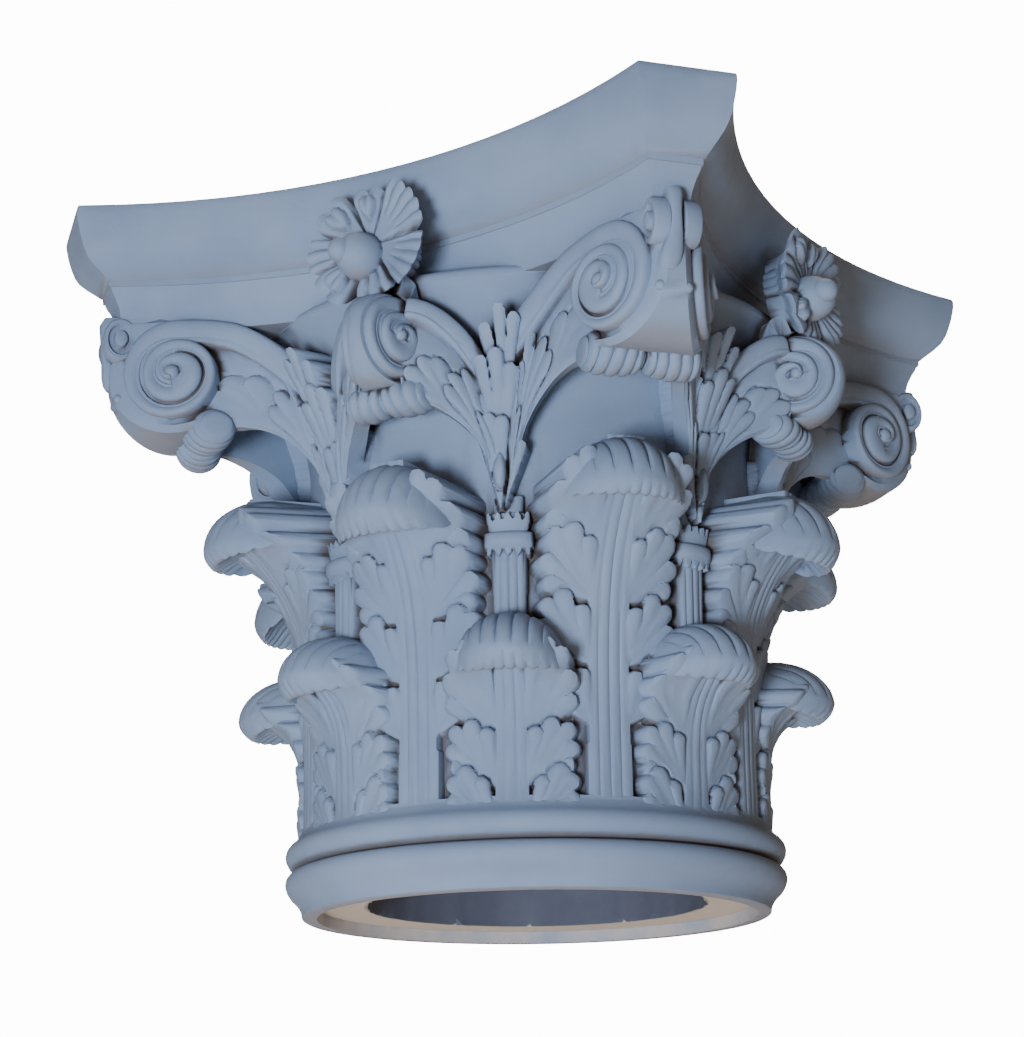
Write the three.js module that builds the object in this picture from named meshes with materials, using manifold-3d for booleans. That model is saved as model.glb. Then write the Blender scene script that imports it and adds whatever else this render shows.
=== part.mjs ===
// A Corinthian column capital, cast hollow in one piece.
// Millimetres, +Z up, origin at the middle of the underside. The abacus faces look along X and Y,
// and its corners stand on the diagonals.
import * as THREE from 'three';
import { mergeVertices } from 'three/addons/utils/BufferGeometryUtils.js';
import Module from 'manifold-3d';

// Driving dimensions
const HEIGHT = 459;
const SIDES = 4;

// Ring at the foot: two round mouldings over a lip
const FOOT_RADIUS = 152;
const MOULDING_RADIUS = 165;
const MOULDING_GROOVE_RADIUS = 154;
const LOWER_MOULDING_Z = 16;
const GROOVE_Z = 29;
const UPPER_MOULDING_Z = 40;
const ASTRAGAL_TOP = 55.6;
const LIP_INNER_RADIUS = 144;
const REBATE_DEPTH = 8;
const BORE_RADIUS = 112;

// Bell behind the leaves
const NECK_RADIUS = 147;
const BELL_FLARE_Z = 280;
const BELL_FLARE_RADIUS = 151;
const BELL_LIP_RADIUS = 188;
const BELL_LIP_Z = 380;
const BELL_FLARE_POWER = 2.5;
const BELL_LIP_ROUND = 6;
const BELL_FLARE_ROWS = [0.45, 0.75];
const ROUND_SEGMENTS = 32;
const BURY_DEPTH = 9;

// Abacus: a plan with four hollow sides and cut corners, and its moulded edge
const ABACUS_REACH = 249.1;
const ABACUS_MIDDLE = 196.5;
const ABACUS_CANT = 62;
const ABACUS_BASE = 380;
const ABACUS_SEGMENTS = 7;
const OVOLO_BOTTOM = 414;
const OVOLO_SHOULDER = 453;
const OVOLO_INSET = 24;
const FILLET_BOTTOM = 409;
const FILLET_INSET = 27;
const CAVETTO_INSET = 38.5;
const OVOLO_CANT = 38;
const CAVETTO_CANT = 22.5;

// Leaves: rows, tiers and caps
const LEAF_FOOT_Z = 50;
const LEAF_FOOT_RADIUS = 154;
const LEAF_SPREAD_POWER = 5;
const MIDRIB_RISE = 3.5;
const MIDRIB_GROOVE = 12;
const GROOVE_DEPTH = 1.5;
const LOBE_LIFT = 5;
const LOBE_BELLY = 0.5;
const LOBE_TIP_WIDTH = 0.9;
const FACE_FALL = 0.5;
const TIER_DROP = 2;
const CAP_FLUTE = 1.3;
const CROWN_ARC_FROM = 35;
const LOWER_LEAF = {
  tiers: [52, 78, 103, 128],
  lobeWidth: 42,
  notchWidth: 34,
  capWidth: 34,
  under: [172, 131],
  low: [189, 124],
  tip: [202, 137],
  crown: [160, 166],
};
const UPPER_LEAF = {
  stem: [50, 118],
  stemWidth: 19,
  tiers: [122, 158, 196, 232],
  lobeWidth: 43,
  notchWidth: 34,
  capWidth: 38,
  under: [196, 237],
  low: [218, 225],
  tip: [226, 236],
  crown: [184, 271],
};
const FACE_LEAF = {
  ...UPPER_LEAF,
  tiers: [122, 156, 190, 223],
  under: [191, 228],
  low: [212, 209],
  tip: [222, 221],
  crown: [180, 261],
};

// Stalks between the leaves, each with a collar and a leafy calyx
const STALK_OFFSET_DEG = 22.5;
const STALK_FOOT = 160;
const STALK_HALF = 11.5;
const COLLAR_BOTTOM = 208;
const COLLAR_TOP = 217;
const COLLAR_HALF = 15.5;
const CROWN_TOP = 231;
const CALYX_TIERS = [240, 282, 315, 346];
const CALYX_HALF = 15;

// Corner volutes, one under each corner of the abacus
const CORNER = {
  centre: [252, 347],
  eyeSpread: 28,
  discRadius: 40,
  bandRadius: 41,
  bandCentre: [252, 347],
  convergence: 0.45,
  back: 205,
  top: 388,
  arcFrom: -140,
  arcTo: 15,
  turns: 2.2,
  stepsPerTurn: 12,
  startAngle: 120,
  eyeRadius: 5,
  ridgeWidth: 12,
  ridgeHeight: 6,
};
const FACE_HELIX = {
  centre: [203, 337],
  eyeSpread: 12,
  discRadius: 30,
  bandRadius: 30,
  bandCentre: [203, 337],
  convergence: 0.22,
  back: 168,
  top: 362,
  arcFrom: -120,
  arcTo: 100,
  turns: 1.9,
  stepsPerTurn: 10,
  startAngle: 120,
  eyeRadius: 4,
  ridgeWidth: 11,
  ridgeHeight: 6,
};
const BLOCK_ARC_STEPS = 9;
const BLOCK_TOP_REACH = 26;
const CREST_INSET = 0.4;
const GROOVE_FALL = 0.8;
const EYE_RISE = 1.35;

// Branches from the calyx to the volutes: a stem above and a lobed leaf below it. Each station has
// degrees off the volute's middle, radius, and the heights of the stem's top and foot, the leaf's
// ridge and the leaf's lower edge.
const CORNER_BRANCH = [
  [21, 165, 330, 316, 285, 250],
  [17.5, 177, 352, 338, 310, 280],
  [13.5, 192, 371, 356, 330, 304],
  [9.5, 212, 382, 367, 338, 312],
  [6.5, 234, 386, 371, 338, 312],
];
const HELIX_BRANCH = [
  [21, 163, 312, 298, 280, 250],
  [16, 172, 331, 316, 300, 280],
  [11.5, 181, 350, 333, 315, 292],
  [7, 192, 363, 347, 325, 298],
  [3.5, 202, 367, 350, 325, 300],
];
const STEM_RISE = 6;
const BRANCH_LEAF_RISE = 7;
const CORNER_TIP = { centre: [228, 310], reach: 15, fall: 13, half: 38 };
const HELIX_TIP = { centre: [192, 303], reach: 15, fall: 12, half: 27 };
const TIP_STATIONS = 8;
const TIP_SIDES = 8;
const TIP_SWEEP = 8;
const TIP_WAIST = 0.25;
const TIP_PARTING = 0.94;

// Small curls between each corner volute and the abacus
const CURL = { centre: [288, 371], radius: 12, stations: [[3, 1], [14, 1], [17, 0.45]], sides: 7 };

// Fleuron on each face of the abacus
const FLEURON_Z = 400;
const FLEURON_PETALS = 7;
const FLEURON_POINTS_PER_PETAL = 4;
const FLEURON_RINGS = [
  { reach: 165, radius: 34, wave: 0 },
  { reach: 205, radius: 37, wave: 0.12 },
  { reach: 213, radius: 38, wave: 0.2 },
  { reach: 213, radius: 31, wave: 0.12 },
  { reach: 207, radius: 19, wave: 0 },
  { reach: 219, radius: 16, wave: 0 },
  { reach: 233, radius: 13, wave: 0 },
  { reach: 239, radius: 6, wave: 0 },
];

// Thinning of the joined casting
const FACE_LIMIT = 9700;
const THIN_SHARE_PER_PASS = 0.08;
const THIN_MAX_TURN = 0.35;
const THIN_MIN_AREA = 0.02;

const wasm = await Module();
wasm.setup();

const degrees = (angle) => THREE.MathUtils.degToRad(angle);
const mix = THREE.MathUtils.lerp;

/** The bell's outer radius at a height. */
function bellRadius(z) {
  const neck = mix(NECK_RADIUS, BELL_FLARE_RADIUS, (z - ASTRAGAL_TOP) / (BELL_FLARE_Z - ASTRAGAL_TOP));
  const flare = Math.max(0, (z - BELL_FLARE_Z) / (BELL_LIP_Z - BELL_FLARE_Z)) ** BELL_FLARE_POWER;
  return mix(Math.min(neck, BELL_FLARE_RADIUS), BELL_LIP_RADIUS, Math.min(flare, 1));
}

/** A point by its distance from the axis, its sideways distance and its height. */
function besideAxis(radius, side, z) {
  return new THREE.Vector3(Math.sqrt(Math.max(radius * radius - side * side, 1)), side, z);
}

/** A point by its angle, height and radius. */
function roundAxis(angle, z, radius) {
  return new THREE.Vector3(radius * Math.cos(degrees(angle)), radius * Math.sin(degrees(angle)), z);
}

/** A solid from corner points and triangles, turned so that its faces look out. */
function solidFrom(points, faces) {
  let volume = 0;
  const cross = new THREE.Vector3();
  for (const [a, b, c] of faces) {
    volume += points[a].dot(cross.crossVectors(points[b], points[c]));
  }
  const triangles = volume < 0 ? faces.map(([a, b, c]) => [a, c, b]) : faces;
  return new wasm.Manifold(new wasm.Mesh({
    numProp: 3,
    vertProperties: Float32Array.from(points.flatMap((point) => point.toArray())),
    triVerts: Uint32Array.from(triangles.flat()),
  }));
}

/** A solid from a closed three.js geometry. */
function solidFromGeometry(geometry) {
  geometry.deleteAttribute('normal');
  geometry.deleteAttribute('uv');
  const merged = mergeVertices(geometry, 1e-4);
  const position = merged.getAttribute('position');
  const points = Array.from({ length: position.count }, (_, i) => (
    new THREE.Vector3().fromBufferAttribute(position, i)));
  const faces = [];
  for (let i = 0; i < merged.index.count; i += 3) {
    const [a, b, c] = merged.index.array.slice(i, i + 3);
    if (a !== b && b !== c && c !== a) faces.push([a, b, c]);
  }
  return solidFrom(points, faces);
}

/** A solid skinned over closed loops of points, with both ends filled round their middle. */
function loft(loops) {
  const size = loops[0].length;
  const points = loops.flat();
  const faces = [];
  for (let row = 0; row + 1 < loops.length; row += 1) {
    for (let i = 0; i < size; i += 1) {
      const a = row * size + i;
      const b = row * size + ((i + 1) % size);
      faces.push([a, b, b + size], [a, b + size, a + size]);
    }
  }
  for (const row of [0, loops.length - 1]) {
    const middle = points.length;
    const centre = new THREE.Vector3();
    loops[row].forEach((point) => centre.addScaledVector(point, 1 / size));
    points.push(centre);
    for (let i = 0; i < size; i += 1) {
      const a = row * size + i;
      const b = row * size + ((i + 1) % size);
      faces.push(row === 0 ? [b, a, middle] : [a, b, middle]);
    }
  }
  return solidFrom(points, faces);
}

/** A turned solid from its profile of [radius, height] points, which starts and ends on the axis. */
function turned(profile) {
  const points = profile.map(([radius, z]) => new THREE.Vector2(radius, z));
  return solidFromGeometry(new THREE.LatheGeometry(points, ROUND_SEGMENTS).rotateX(Math.PI / 2));
}

/** Points of an elliptical arc, as [x, y] pairs, both ends included. */
function arc(centre, reach, rise, from, to, steps) {
  return Array.from({ length: steps + 1 }, (_, i) => {
    const angle = degrees(mix(from, to, i / steps));
    return [centre[0] + reach * Math.cos(angle), centre[1] + rise * Math.sin(angle)];
  });
}

/** The astragal ring and the bell, solid to the axis. */
function bodyOfRevolution() {
  const upperRise = ASTRAGAL_TOP - UPPER_MOULDING_Z;
  const flareHeights = BELL_FLARE_ROWS.map((share) => mix(BELL_FLARE_Z, BELL_LIP_Z, share));
  const bellHeights = [ASTRAGAL_TOP, BELL_FLARE_Z, ...flareHeights, BELL_LIP_Z - BELL_LIP_ROUND];
  return turned([
    [0, 0],
    [FOOT_RADIUS, 0],
    ...arc([FOOT_RADIUS, LOWER_MOULDING_Z], MOULDING_RADIUS - FOOT_RADIUS, LOWER_MOULDING_Z - 2, -60, 0, 2),
    ...arc([MOULDING_GROOVE_RADIUS, LOWER_MOULDING_Z], MOULDING_RADIUS - MOULDING_GROOVE_RADIUS,
      GROOVE_Z - LOWER_MOULDING_Z, 30, 90, 2),
    ...arc([MOULDING_GROOVE_RADIUS, UPPER_MOULDING_Z], MOULDING_RADIUS - MOULDING_GROOVE_RADIUS,
      UPPER_MOULDING_Z - GROOVE_Z, -45, 0, 1),
    ...arc([FOOT_RADIUS, UPPER_MOULDING_Z], MOULDING_RADIUS - FOOT_RADIUS, upperRise, 35, 90, 2),
    ...bellHeights.map((z) => [bellRadius(z), z]),
    [BELL_LIP_RADIUS, BELL_LIP_Z],
    [BELL_LIP_RADIUS - BELL_LIP_ROUND, BELL_LIP_Z + BELL_LIP_ROUND],
    [0, BELL_LIP_Z + BELL_LIP_ROUND],
  ]);
}

/** The rebate under the foot and the bore that runs right through. */
function hollow() {
  return turned([
    [0, -1],
    [LIP_INNER_RADIUS, -1],
    [LIP_INNER_RADIUS, REBATE_DEPTH],
    [BORE_RADIUS, REBATE_DEPTH],
    [BORE_RADIUS, HEIGHT + 1],
    [0, HEIGHT + 1],
  ]);
}

/** The abacus plan at one height, set in from the top outline, with its corners cut to a width. */
function abacusOutline(z, inset, cant) {
  const reach = ABACUS_REACH - inset;
  const half = reach - cant / Math.SQRT2;
  const sagitta = ABACUS_REACH - ABACUS_MIDDLE;
  const radius = (half * half + sagitta * sagitta) / (2 * sagitta);
  const spread = Math.asin(half / radius);
  const loop = [];
  for (let side = 0; side < SIDES; side += 1) {
    for (let i = 0; i <= ABACUS_SEGMENTS; i += 1) {
      const angle = mix(-spread, spread, i / ABACUS_SEGMENTS);
      const out = ABACUS_MIDDLE - inset + radius * (1 - Math.cos(angle));
      const point = new THREE.Vector3(out, radius * Math.sin(angle), z);
      loop.push(point.applyAxisAngle(new THREE.Vector3(0, 0, 1), (side * Math.PI) / 2));
    }
  }
  return loop;
}

/** The abacus: a hollow moulding below, a fillet, and a round moulding up to the top. */
function abacus() {
  const cavetto = [0, 0.5, 1].map((share) => abacusOutline(
    mix(ABACUS_BASE, FILLET_BOTTOM, share),
    mix(CAVETTO_INSET, FILLET_INSET + 3, share ** 3),
    mix(CAVETTO_CANT, OVOLO_CANT - 6, share ** 2),
  ));
  const ovolo = [0, 0.3, 0.65, 1].map((share) => abacusOutline(
    mix(OVOLO_BOTTOM, OVOLO_SHOULDER, share),
    OVOLO_INSET * (1 - share) ** 1.7,
    mix(OVOLO_CANT, ABACUS_CANT, 1 - (1 - share) ** 1.7),
  ));
  return loft([
    ...cavetto,
    abacusOutline(FILLET_BOTTOM + 0.5, FILLET_INSET, OVOLO_CANT - 3),
    abacusOutline(OVOLO_BOTTOM - 0.5, FILLET_INSET, OVOLO_CANT - 3),
    ...ovolo,
    abacusOutline(HEIGHT, 1, ABACUS_CANT),
  ]);
}

/** A closed row from its middle point and the points of one half, as [side, radius, height]. */
function mirroredRow([, radius, z], half) {
  return [
    ...half.map(([side, away, height]) => besideAxis(away, -side, height)).reverse(),
    besideAxis(radius, 0, z),
    ...half.map(([side, away, height]) => besideAxis(away, side, height)),
  ];
}

/** One row across a leaf's face: midrib, groove and lobe on each side, then back into the bell. */
function leafFaceRow(leaf, z, width, lift) {
  const share = (z - LEAF_FOOT_Z) / (leaf.under[1] - LEAF_FOOT_Z);
  const face = mix(LEAF_FOOT_RADIUS, leaf.under[0], Math.max(share, 0) ** LEAF_SPREAD_POWER);
  const bell = bellRadius(z);
  const fall = (side) => bell + (face - bell) * (1 - FACE_FALL * (side / width) ** 2);
  const ridge = mix(MIDRIB_GROOVE, width, 0.5);
  const half = [
    [MIDRIB_GROOVE, fall(MIDRIB_GROOVE) - GROOVE_DEPTH],
    [ridge, fall(ridge) + lift],
    [width, fall(width) + 0.3 * lift],
    [width, bell - BURY_DEPTH],
  ];
  return mirroredRow([0, face + MIDRIB_RISE, z], half.map(([side, radius]) => [side, radius, z]));
}

/** One row across a leaf's cap, a half dome that shrinks towards its sides. */
function leafCapRow(leaf, point, share) {
  const bell = bellRadius(leaf.under[1]);
  const inner = mix(leaf.under[1], leaf.crown[1], share);
  const at = (across, flute) => {
    const dome = 0.2 + 0.8 * Math.sqrt(1 - across * across);
    const radius = bell + (point[0] + flute - bell) * dome;
    return [across * leaf.capWidth, radius, leaf.under[1] + (point[1] - leaf.under[1]) * dome];
  };
  const back = [leaf.capWidth, bell - BURY_DEPTH, inner];
  const half = [at(0.33, -CAP_FLUTE), at(0.66, CAP_FLUTE), at(0.95, 0), back];
  return mirroredRow(at(0, CAP_FLUTE), half);
}

/** An acanthus leaf: tiers of lobes up its face, and a curled-over cap. */
function acanthusLeaf(leaf) {
  const stemWidth = leaf.stemWidth ?? leaf.notchWidth;
  const rows = (leaf.stem ?? [LEAF_FOOT_Z]).map((z) => leafFaceRow(leaf, z, stemWidth, 1));
  for (let tier = 0; tier + 1 < leaf.tiers.length; tier += 1) {
    const foot = leaf.tiers[tier] + TIER_DROP;
    const tip = leaf.tiers[tier + 1];
    rows.push(leafFaceRow(leaf, foot, leaf.notchWidth, 0));
    rows.push(leafFaceRow(leaf, mix(foot, tip, LOBE_BELLY), leaf.lobeWidth, LOBE_LIFT / 2));
    rows.push(leafFaceRow(leaf, tip, leaf.lobeWidth * LOBE_TIP_WIDTH, LOBE_LIFT));
  }
  const outline = [
    leaf.under,
    leaf.low,
    leaf.tip,
    ...arc([leaf.crown[0], leaf.tip[1]], leaf.tip[0] - leaf.crown[0], leaf.crown[1] - leaf.tip[1],
      CROWN_ARC_FROM, 90, 2),
    [bellRadius(leaf.crown[1]) - BURY_DEPTH / 2, leaf.crown[1] - 1],
  ];
  outline.forEach((point, i) => rows.push(leafCapRow(leaf, point, (i + 1) / outline.length)));
  return loft(rows);
}

/** One row across a stalk or calyx. */
function stalkRow(z, half, rise) {
  const bell = bellRadius(z);
  const edge = [[half, bell + 0.4 * rise, z], [half, bell - BURY_DEPTH, z]];
  return mirroredRow([0, bell + rise, z], edge);
}

/** A stalk with its collar and crown, and the calyx of three tiers that stands in it. */
function cauliculus() {
  const rows = [
    stalkRow(STALK_FOOT, STALK_HALF - 2, 9),
    stalkRow(COLLAR_BOTTOM, STALK_HALF, 11),
    stalkRow(COLLAR_BOTTOM + 1, COLLAR_HALF, 15),
    stalkRow(COLLAR_TOP, COLLAR_HALF, 15),
    stalkRow(COLLAR_TOP + 1, STALK_HALF, 12),
    stalkRow(CROWN_TOP, COLLAR_HALF, 15),
    stalkRow(CROWN_TOP + 1, STALK_HALF, 11),
  ];
  for (let tier = 0; tier + 1 < CALYX_TIERS.length; tier += 1) {
    rows.push(stalkRow(CALYX_TIERS[tier] + TIER_DROP, CALYX_HALF, 12));
    rows.push(stalkRow(CALYX_TIERS[tier + 1], CALYX_HALF, 18));
  }
  rows.push(stalkRow(CALYX_TIERS.at(-1) + TIER_DROP, CALYX_HALF / 2, 2));
  return loft(rows);
}

/** A branch of the calyx on one side of a volute, skinned over its stations. */
function branch(stations, handed) {
  return loft(stations.map(([angle, radius, top, foot, ridge, edge]) => [
    [radius - 2 * BURY_DEPTH, top],
    [radius, top],
    [radius + STEM_RISE, mix(foot, top, 0.4)],
    [radius, foot],
    [radius + BRANCH_LEAF_RISE, ridge],
    [radius - 4, edge],
    [radius - 2 * BURY_DEPTH, edge],
  ].map(([away, z]) => roundAxis(handed * angle, z, away))));
}

/** A point on the side face of a volute block, by distance along it, height and stand-off. */
function onSideFace(volute, handed, along, z, out) {
  const slope = Math.atan(volute.convergence);
  const x = volute.centre[0] + along * Math.cos(slope) + out * Math.sin(slope);
  const y = volute.eyeSpread - along * Math.sin(slope) + out * Math.cos(slope);
  return new THREE.Vector3(x, handed * y, z);
}

/** The block of a volute: a wedge, narrow in front, with a round front band. */
function voluteBlock(volute) {
  const radius = volute.bandRadius;
  const outline = [
    ...arc(volute.bandCentre, radius, radius, volute.arcFrom, volute.arcTo, BLOCK_ARC_STEPS),
    [volute.centre[0] + BLOCK_TOP_REACH, volute.top],
    [volute.back, volute.top],
    [volute.back, volute.bandCentre[1]],
  ];
  if (volute === FACE_HELIX) outline.splice(-3, 1);
  return loft([-1, 1].map((handed) => outline.map(([reach, z]) => {
    const half = volute.eyeSpread - (reach - volute.centre[0]) * volute.convergence;
    return new THREE.Vector3(reach, handed * half, z);
  })));
}

/** The round face of a volute: a spiral ridge and groove that wind in and rise towards the eye. */
function voluteSpiral(volute, handed) {
  const perTurn = volute.stepsPerTurn;
  const steps = Math.round(volute.turns * perTurn);
  const place = (i, inset, out) => {
    const share = Math.min(i / steps, 1);
    const angle = degrees(volute.startAngle) - (i / perTurn) * 2 * Math.PI;
    const away = Math.max(mix(volute.discRadius, volute.eyeRadius + volute.ridgeWidth, share) - inset, 0.5);
    return onSideFace(volute, handed, away * Math.cos(angle), volute.centre[1] + away * Math.sin(angle), out);
  };
  const points = [];
  const ridge = [];
  const groove = [];
  for (let i = 0; i <= steps; i += 1) {
    const rise = volute.ridgeHeight * (0.5 + i / steps);
    ridge.push(points.push(place(i, volute.ridgeWidth * CREST_INSET, rise)) - 1);
    groove.push(points.push(place(i, volute.ridgeWidth, rise - volute.ridgeHeight * GROOVE_FALL)) - 1);
  }
  const foot = [];
  for (let i = 0; i <= perTurn; i += 1) foot.push(points.push(place(i, 0, -BURY_DEPTH)) - 1);
  const faces = [];
  const quad = (a, b, c, d) => faces.push([a, b, c], [a, c, d]);
  for (let i = 0; i < steps; i += 1) quad(ridge[i], groove[i], groove[i + 1], ridge[i + 1]);
  for (let i = 0; i + perTurn < steps; i += 1) {
    quad(groove[i], ridge[i + perTurn], ridge[i + perTurn + 1], groove[i + 1]);
  }
  for (let i = 0; i < perTurn; i += 1) quad(foot[i], ridge[i], ridge[i + 1], foot[i + 1]);
  faces.push([foot[0], groove[0], ridge[0]], [foot[0], foot[perTurn], groove[0]]);
  faces.push([foot[perTurn], ridge[perTurn], groove[0]]);
  const eye = points.push(place(steps, volute.discRadius, volute.ridgeHeight * EYE_RISE)) - 1;
  for (let i = steps - perTurn; i < steps; i += 1) faces.push([groove[i], eye, groove[i + 1]]);
  faces.push([groove[steps], eye, ridge[steps]], [ridge[steps], eye, groove[steps - perTurn]]);
  const back = points.push(place(0, volute.discRadius, -BURY_DEPTH)) - 1;
  for (let i = 0; i < perTurn; i += 1) faces.push([foot[i], foot[i + 1], back]);
  faces.push([foot[perTurn], foot[0], back]);
  return solidFrom(points, faces);
}

/** The pair of curled leaf tips under a volute, parted in the middle. */
function curledTips(tip) {
  const loops = [];
  for (let i = 0; i <= TIP_STATIONS; i += 1) {
    const across = mix(-1, 1, i / TIP_STATIONS);
    const swell = mix(TIP_WAIST, 1, Math.sqrt(Math.abs(Math.sin(across * Math.PI * TIP_PARTING))));
    loops.push(Array.from({ length: TIP_SIDES }, (_, side) => {
      const angle = (side / TIP_SIDES) * 2 * Math.PI;
      return new THREE.Vector3(
        tip.centre[0] + tip.reach * swell * Math.cos(angle) - TIP_SWEEP * across * across,
        across * tip.half,
        tip.centre[1] + tip.fall * swell * Math.sin(angle),
      );
    }));
  }
  return loft(loops);
}

/** A small round curl under the abacus's cut corner. */
function curl(handed) {
  return loft(CURL.stations.map(([side, share]) => {
    const radius = CURL.radius * share;
    return arc(CURL.centre, radius, radius, 0, 360 - 360 / CURL.sides, CURL.sides - 1)
      .map(([x, z]) => new THREE.Vector3(x, handed * side, z));
  }));
}

/** The fleuron: scalloped petals round a bud. */
function fleuron() {
  const sides = FLEURON_PETALS * FLEURON_POINTS_PER_PETAL;
  return loft(FLEURON_RINGS.map(({ reach, radius, wave }) => Array.from({ length: sides }, (_, i) => {
    const angle = (i / sides) * 2 * Math.PI;
    const away = radius * (1 + wave * (Math.abs(Math.cos((angle * FLEURON_PETALS) / 2)) - 0.5));
    return new THREE.Vector3(reach, away * Math.cos(angle), FLEURON_Z + away * Math.sin(angle));
  })));
}

/** Copies of solids round the axis, from a first angle in degrees. */
function around(solids, count, first) {
  const copies = [];
  for (let i = 0; i < count; i += 1) {
    for (const solid of solids) copies.push(solid.rotate([0, 0, first + (360 / count) * i]));
  }
  return copies;
}

/** What stands on each corner. */
function cornerOrnament() {
  return [
    voluteBlock(CORNER),
    curledTips(CORNER_TIP),
    ...[-1, 1].flatMap((handed) => [
      voluteSpiral(CORNER, handed),
      branch(CORNER_BRANCH, handed),
      curl(handed),
    ]),
  ];
}

/** What stands on each face. */
function faceOrnament() {
  return [
    fleuron(),
    voluteBlock(FACE_HELIX),
    curledTips(HELIX_TIP),
    ...[-1, 1].flatMap((handed) => [
      voluteSpiral(FACE_HELIX, handed),
      branch(HELIX_BRANCH, handed),
    ]),
  ];
}

/** The error quadric of a triangle's plane, weighted by its area. */
function planeQuadric(a, b, c) {
  const normal = new THREE.Vector3().crossVectors(b.clone().sub(a), c.clone().sub(a));
  const area = normal.length() / 2;
  normal.normalize();
  const plane = [normal.x, normal.y, normal.z, -normal.dot(a)];
  return plane.flatMap((p, i) => plane.slice(i).map((q) => area * p * q));
}

/** The error of a quadric at a point. */
function quadricError(q, { x, y, z }) {
  return q[0] * x * x + 2 * q[1] * x * y + 2 * q[2] * x * z + 2 * q[3] * x
    + q[4] * y * y + 2 * q[5] * y * z + 2 * q[6] * y + q[7] * z * z + 2 * q[8] * z + q[9];
}

/** Whether a vertex can be pulled onto a neighbour without a fold, a flip or a pinch. */
function canPull(points, faces, ring, from, onto) {
  const around = (vertex) => new Set(ring[vertex].flatMap((face) => faces[face]));
  const others = around(onto);
  const shared = [...around(from)].filter((vertex) => (
    others.has(vertex) && vertex !== from && vertex !== onto));
  if (shared.length !== 2) return false;
  return ring[from].every((face) => {
    if (faces[face].includes(onto)) return true;
    const before = new THREE.Triangle(...faces[face].map((vertex) => points[vertex]));
    const after = new THREE.Triangle(...faces[face].map((vertex) => points[vertex === from ? onto : vertex]));
    const turn = before.getNormal(new THREE.Vector3()).dot(after.getNormal(new THREE.Vector3()));
    return turn > THIN_MAX_TURN && after.getArea() > THIN_MIN_AREA;
  });
}

/** A solid with fewer faces: vertices are pulled onto neighbours where the surface changes least. */
function thinned(solid, faceLimit) {
  const mesh = solid.getMesh();
  const points = Array.from({ length: mesh.numVert }, (_, i) => (
    new THREE.Vector3().fromArray(mesh.vertProperties, 3 * i)));
  let faces = Array.from({ length: mesh.numTri }, (_, i) => [...mesh.triVerts.slice(3 * i, 3 * i + 3)]);
  const quadrics = points.map(() => new Array(10).fill(0));
  for (const face of faces) {
    const quadric = planeQuadric(...face.map((vertex) => points[vertex]));
    for (const vertex of face) quadric.forEach((value, i) => { quadrics[vertex][i] += value; });
  }
  let before = Infinity;
  while (faces.length > faceLimit && faces.length < before) {
    before = faces.length;
    const ring = points.map(() => []);
    faces.forEach((face, i) => face.forEach((vertex) => ring[vertex].push(i)));
    const pulls = [];
    ring.forEach((around, from) => {
      for (const onto of new Set(around.flatMap((face) => faces[face]))) {
        if (onto !== from) pulls.push([quadricError(quadrics[from], points[onto]), from, onto]);
      }
    });
    pulls.sort((a, b) => a[0] - b[0]);
    const busy = new Set();
    let spare = Math.max(Math.min(faces.length - faceLimit, faces.length * THIN_SHARE_PER_PASS), 2);
    for (const [, from, onto] of pulls) {
      if (spare <= 0) break;
      if (busy.has(from) || busy.has(onto) || !canPull(points, faces, ring, from, onto)) continue;
      for (const face of [...ring[from], ...ring[onto]]) faces[face].forEach((vertex) => busy.add(vertex));
      for (const face of ring[from]) {
        faces[face] = faces[face].map((vertex) => (vertex === from ? onto : vertex));
      }
      quadrics[from].forEach((value, i) => { quadrics[onto][i] += value; });
      spare -= 2;
    }
    faces = faces.filter((face) => new Set(face).size === 3);
  }
  return solidFrom(...compacted(points, faces));
}

/** Points and faces without the points that no face uses. */
function compacted(points, faces) {
  const used = [...new Set(faces.flat())];
  const place = new Map(used.map((vertex, i) => [vertex, i]));
  return [used.map((vertex) => points[vertex]), faces.map((face) => face.map((vertex) => place.get(vertex)))];
}

/** The whole casting. */
function capitalSolid() {
  const solids = [
    bodyOfRevolution(),
    abacus(),
    ...around([acanthusLeaf(LOWER_LEAF)], 2 * SIDES, STALK_OFFSET_DEG),
    ...around([acanthusLeaf(UPPER_LEAF)], SIDES, 45),
    ...around([acanthusLeaf(FACE_LEAF)], SIDES, 0),
    ...around([cauliculus()], 2 * SIDES, STALK_OFFSET_DEG),
    ...around(cornerOrnament(), SIDES, 45),
    ...around(faceOrnament(), SIDES, 0),
  ];
  return thinned(wasm.Manifold.union(solids), FACE_LIMIT).subtract(hollow());
}

/** A three.js geometry from a solid. */
function geometryFrom(solid) {
  const mesh = solid.getMesh();
  const geometry = new THREE.BufferGeometry();
  geometry.setAttribute('position', new THREE.BufferAttribute(mesh.vertProperties, 3));
  geometry.setIndex(new THREE.BufferAttribute(mesh.triVerts, 1));
  geometry.computeVertexNormals();
  return geometry;
}

const plaster = new THREE.MeshStandardMaterial({ color: 0x8793a6, roughness: 0.75, metalness: 0 });

const capital = new THREE.Mesh(geometryFrom(capitalSolid()), plaster);
capital.name = 'capital';

const model = new THREE.Group();
model.add(capital);

export default model;
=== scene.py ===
"""A Corinthian column capital, cast hollow in one piece and painted a matt blue-grey.

Sizes are millimetres while a shape is made, and the finished casting is turned into metres.
The abacus faces look along X and Y, and its corners stand on the diagonals.
"""

import logging
import math
from collections.abc import Callable, Iterable, Sequence
from dataclasses import dataclass, field
from enum import Enum

import bmesh
import bpy
from mathutils import Matrix, Vector, noise
from mathutils.bvhtree import BVHTree


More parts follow.
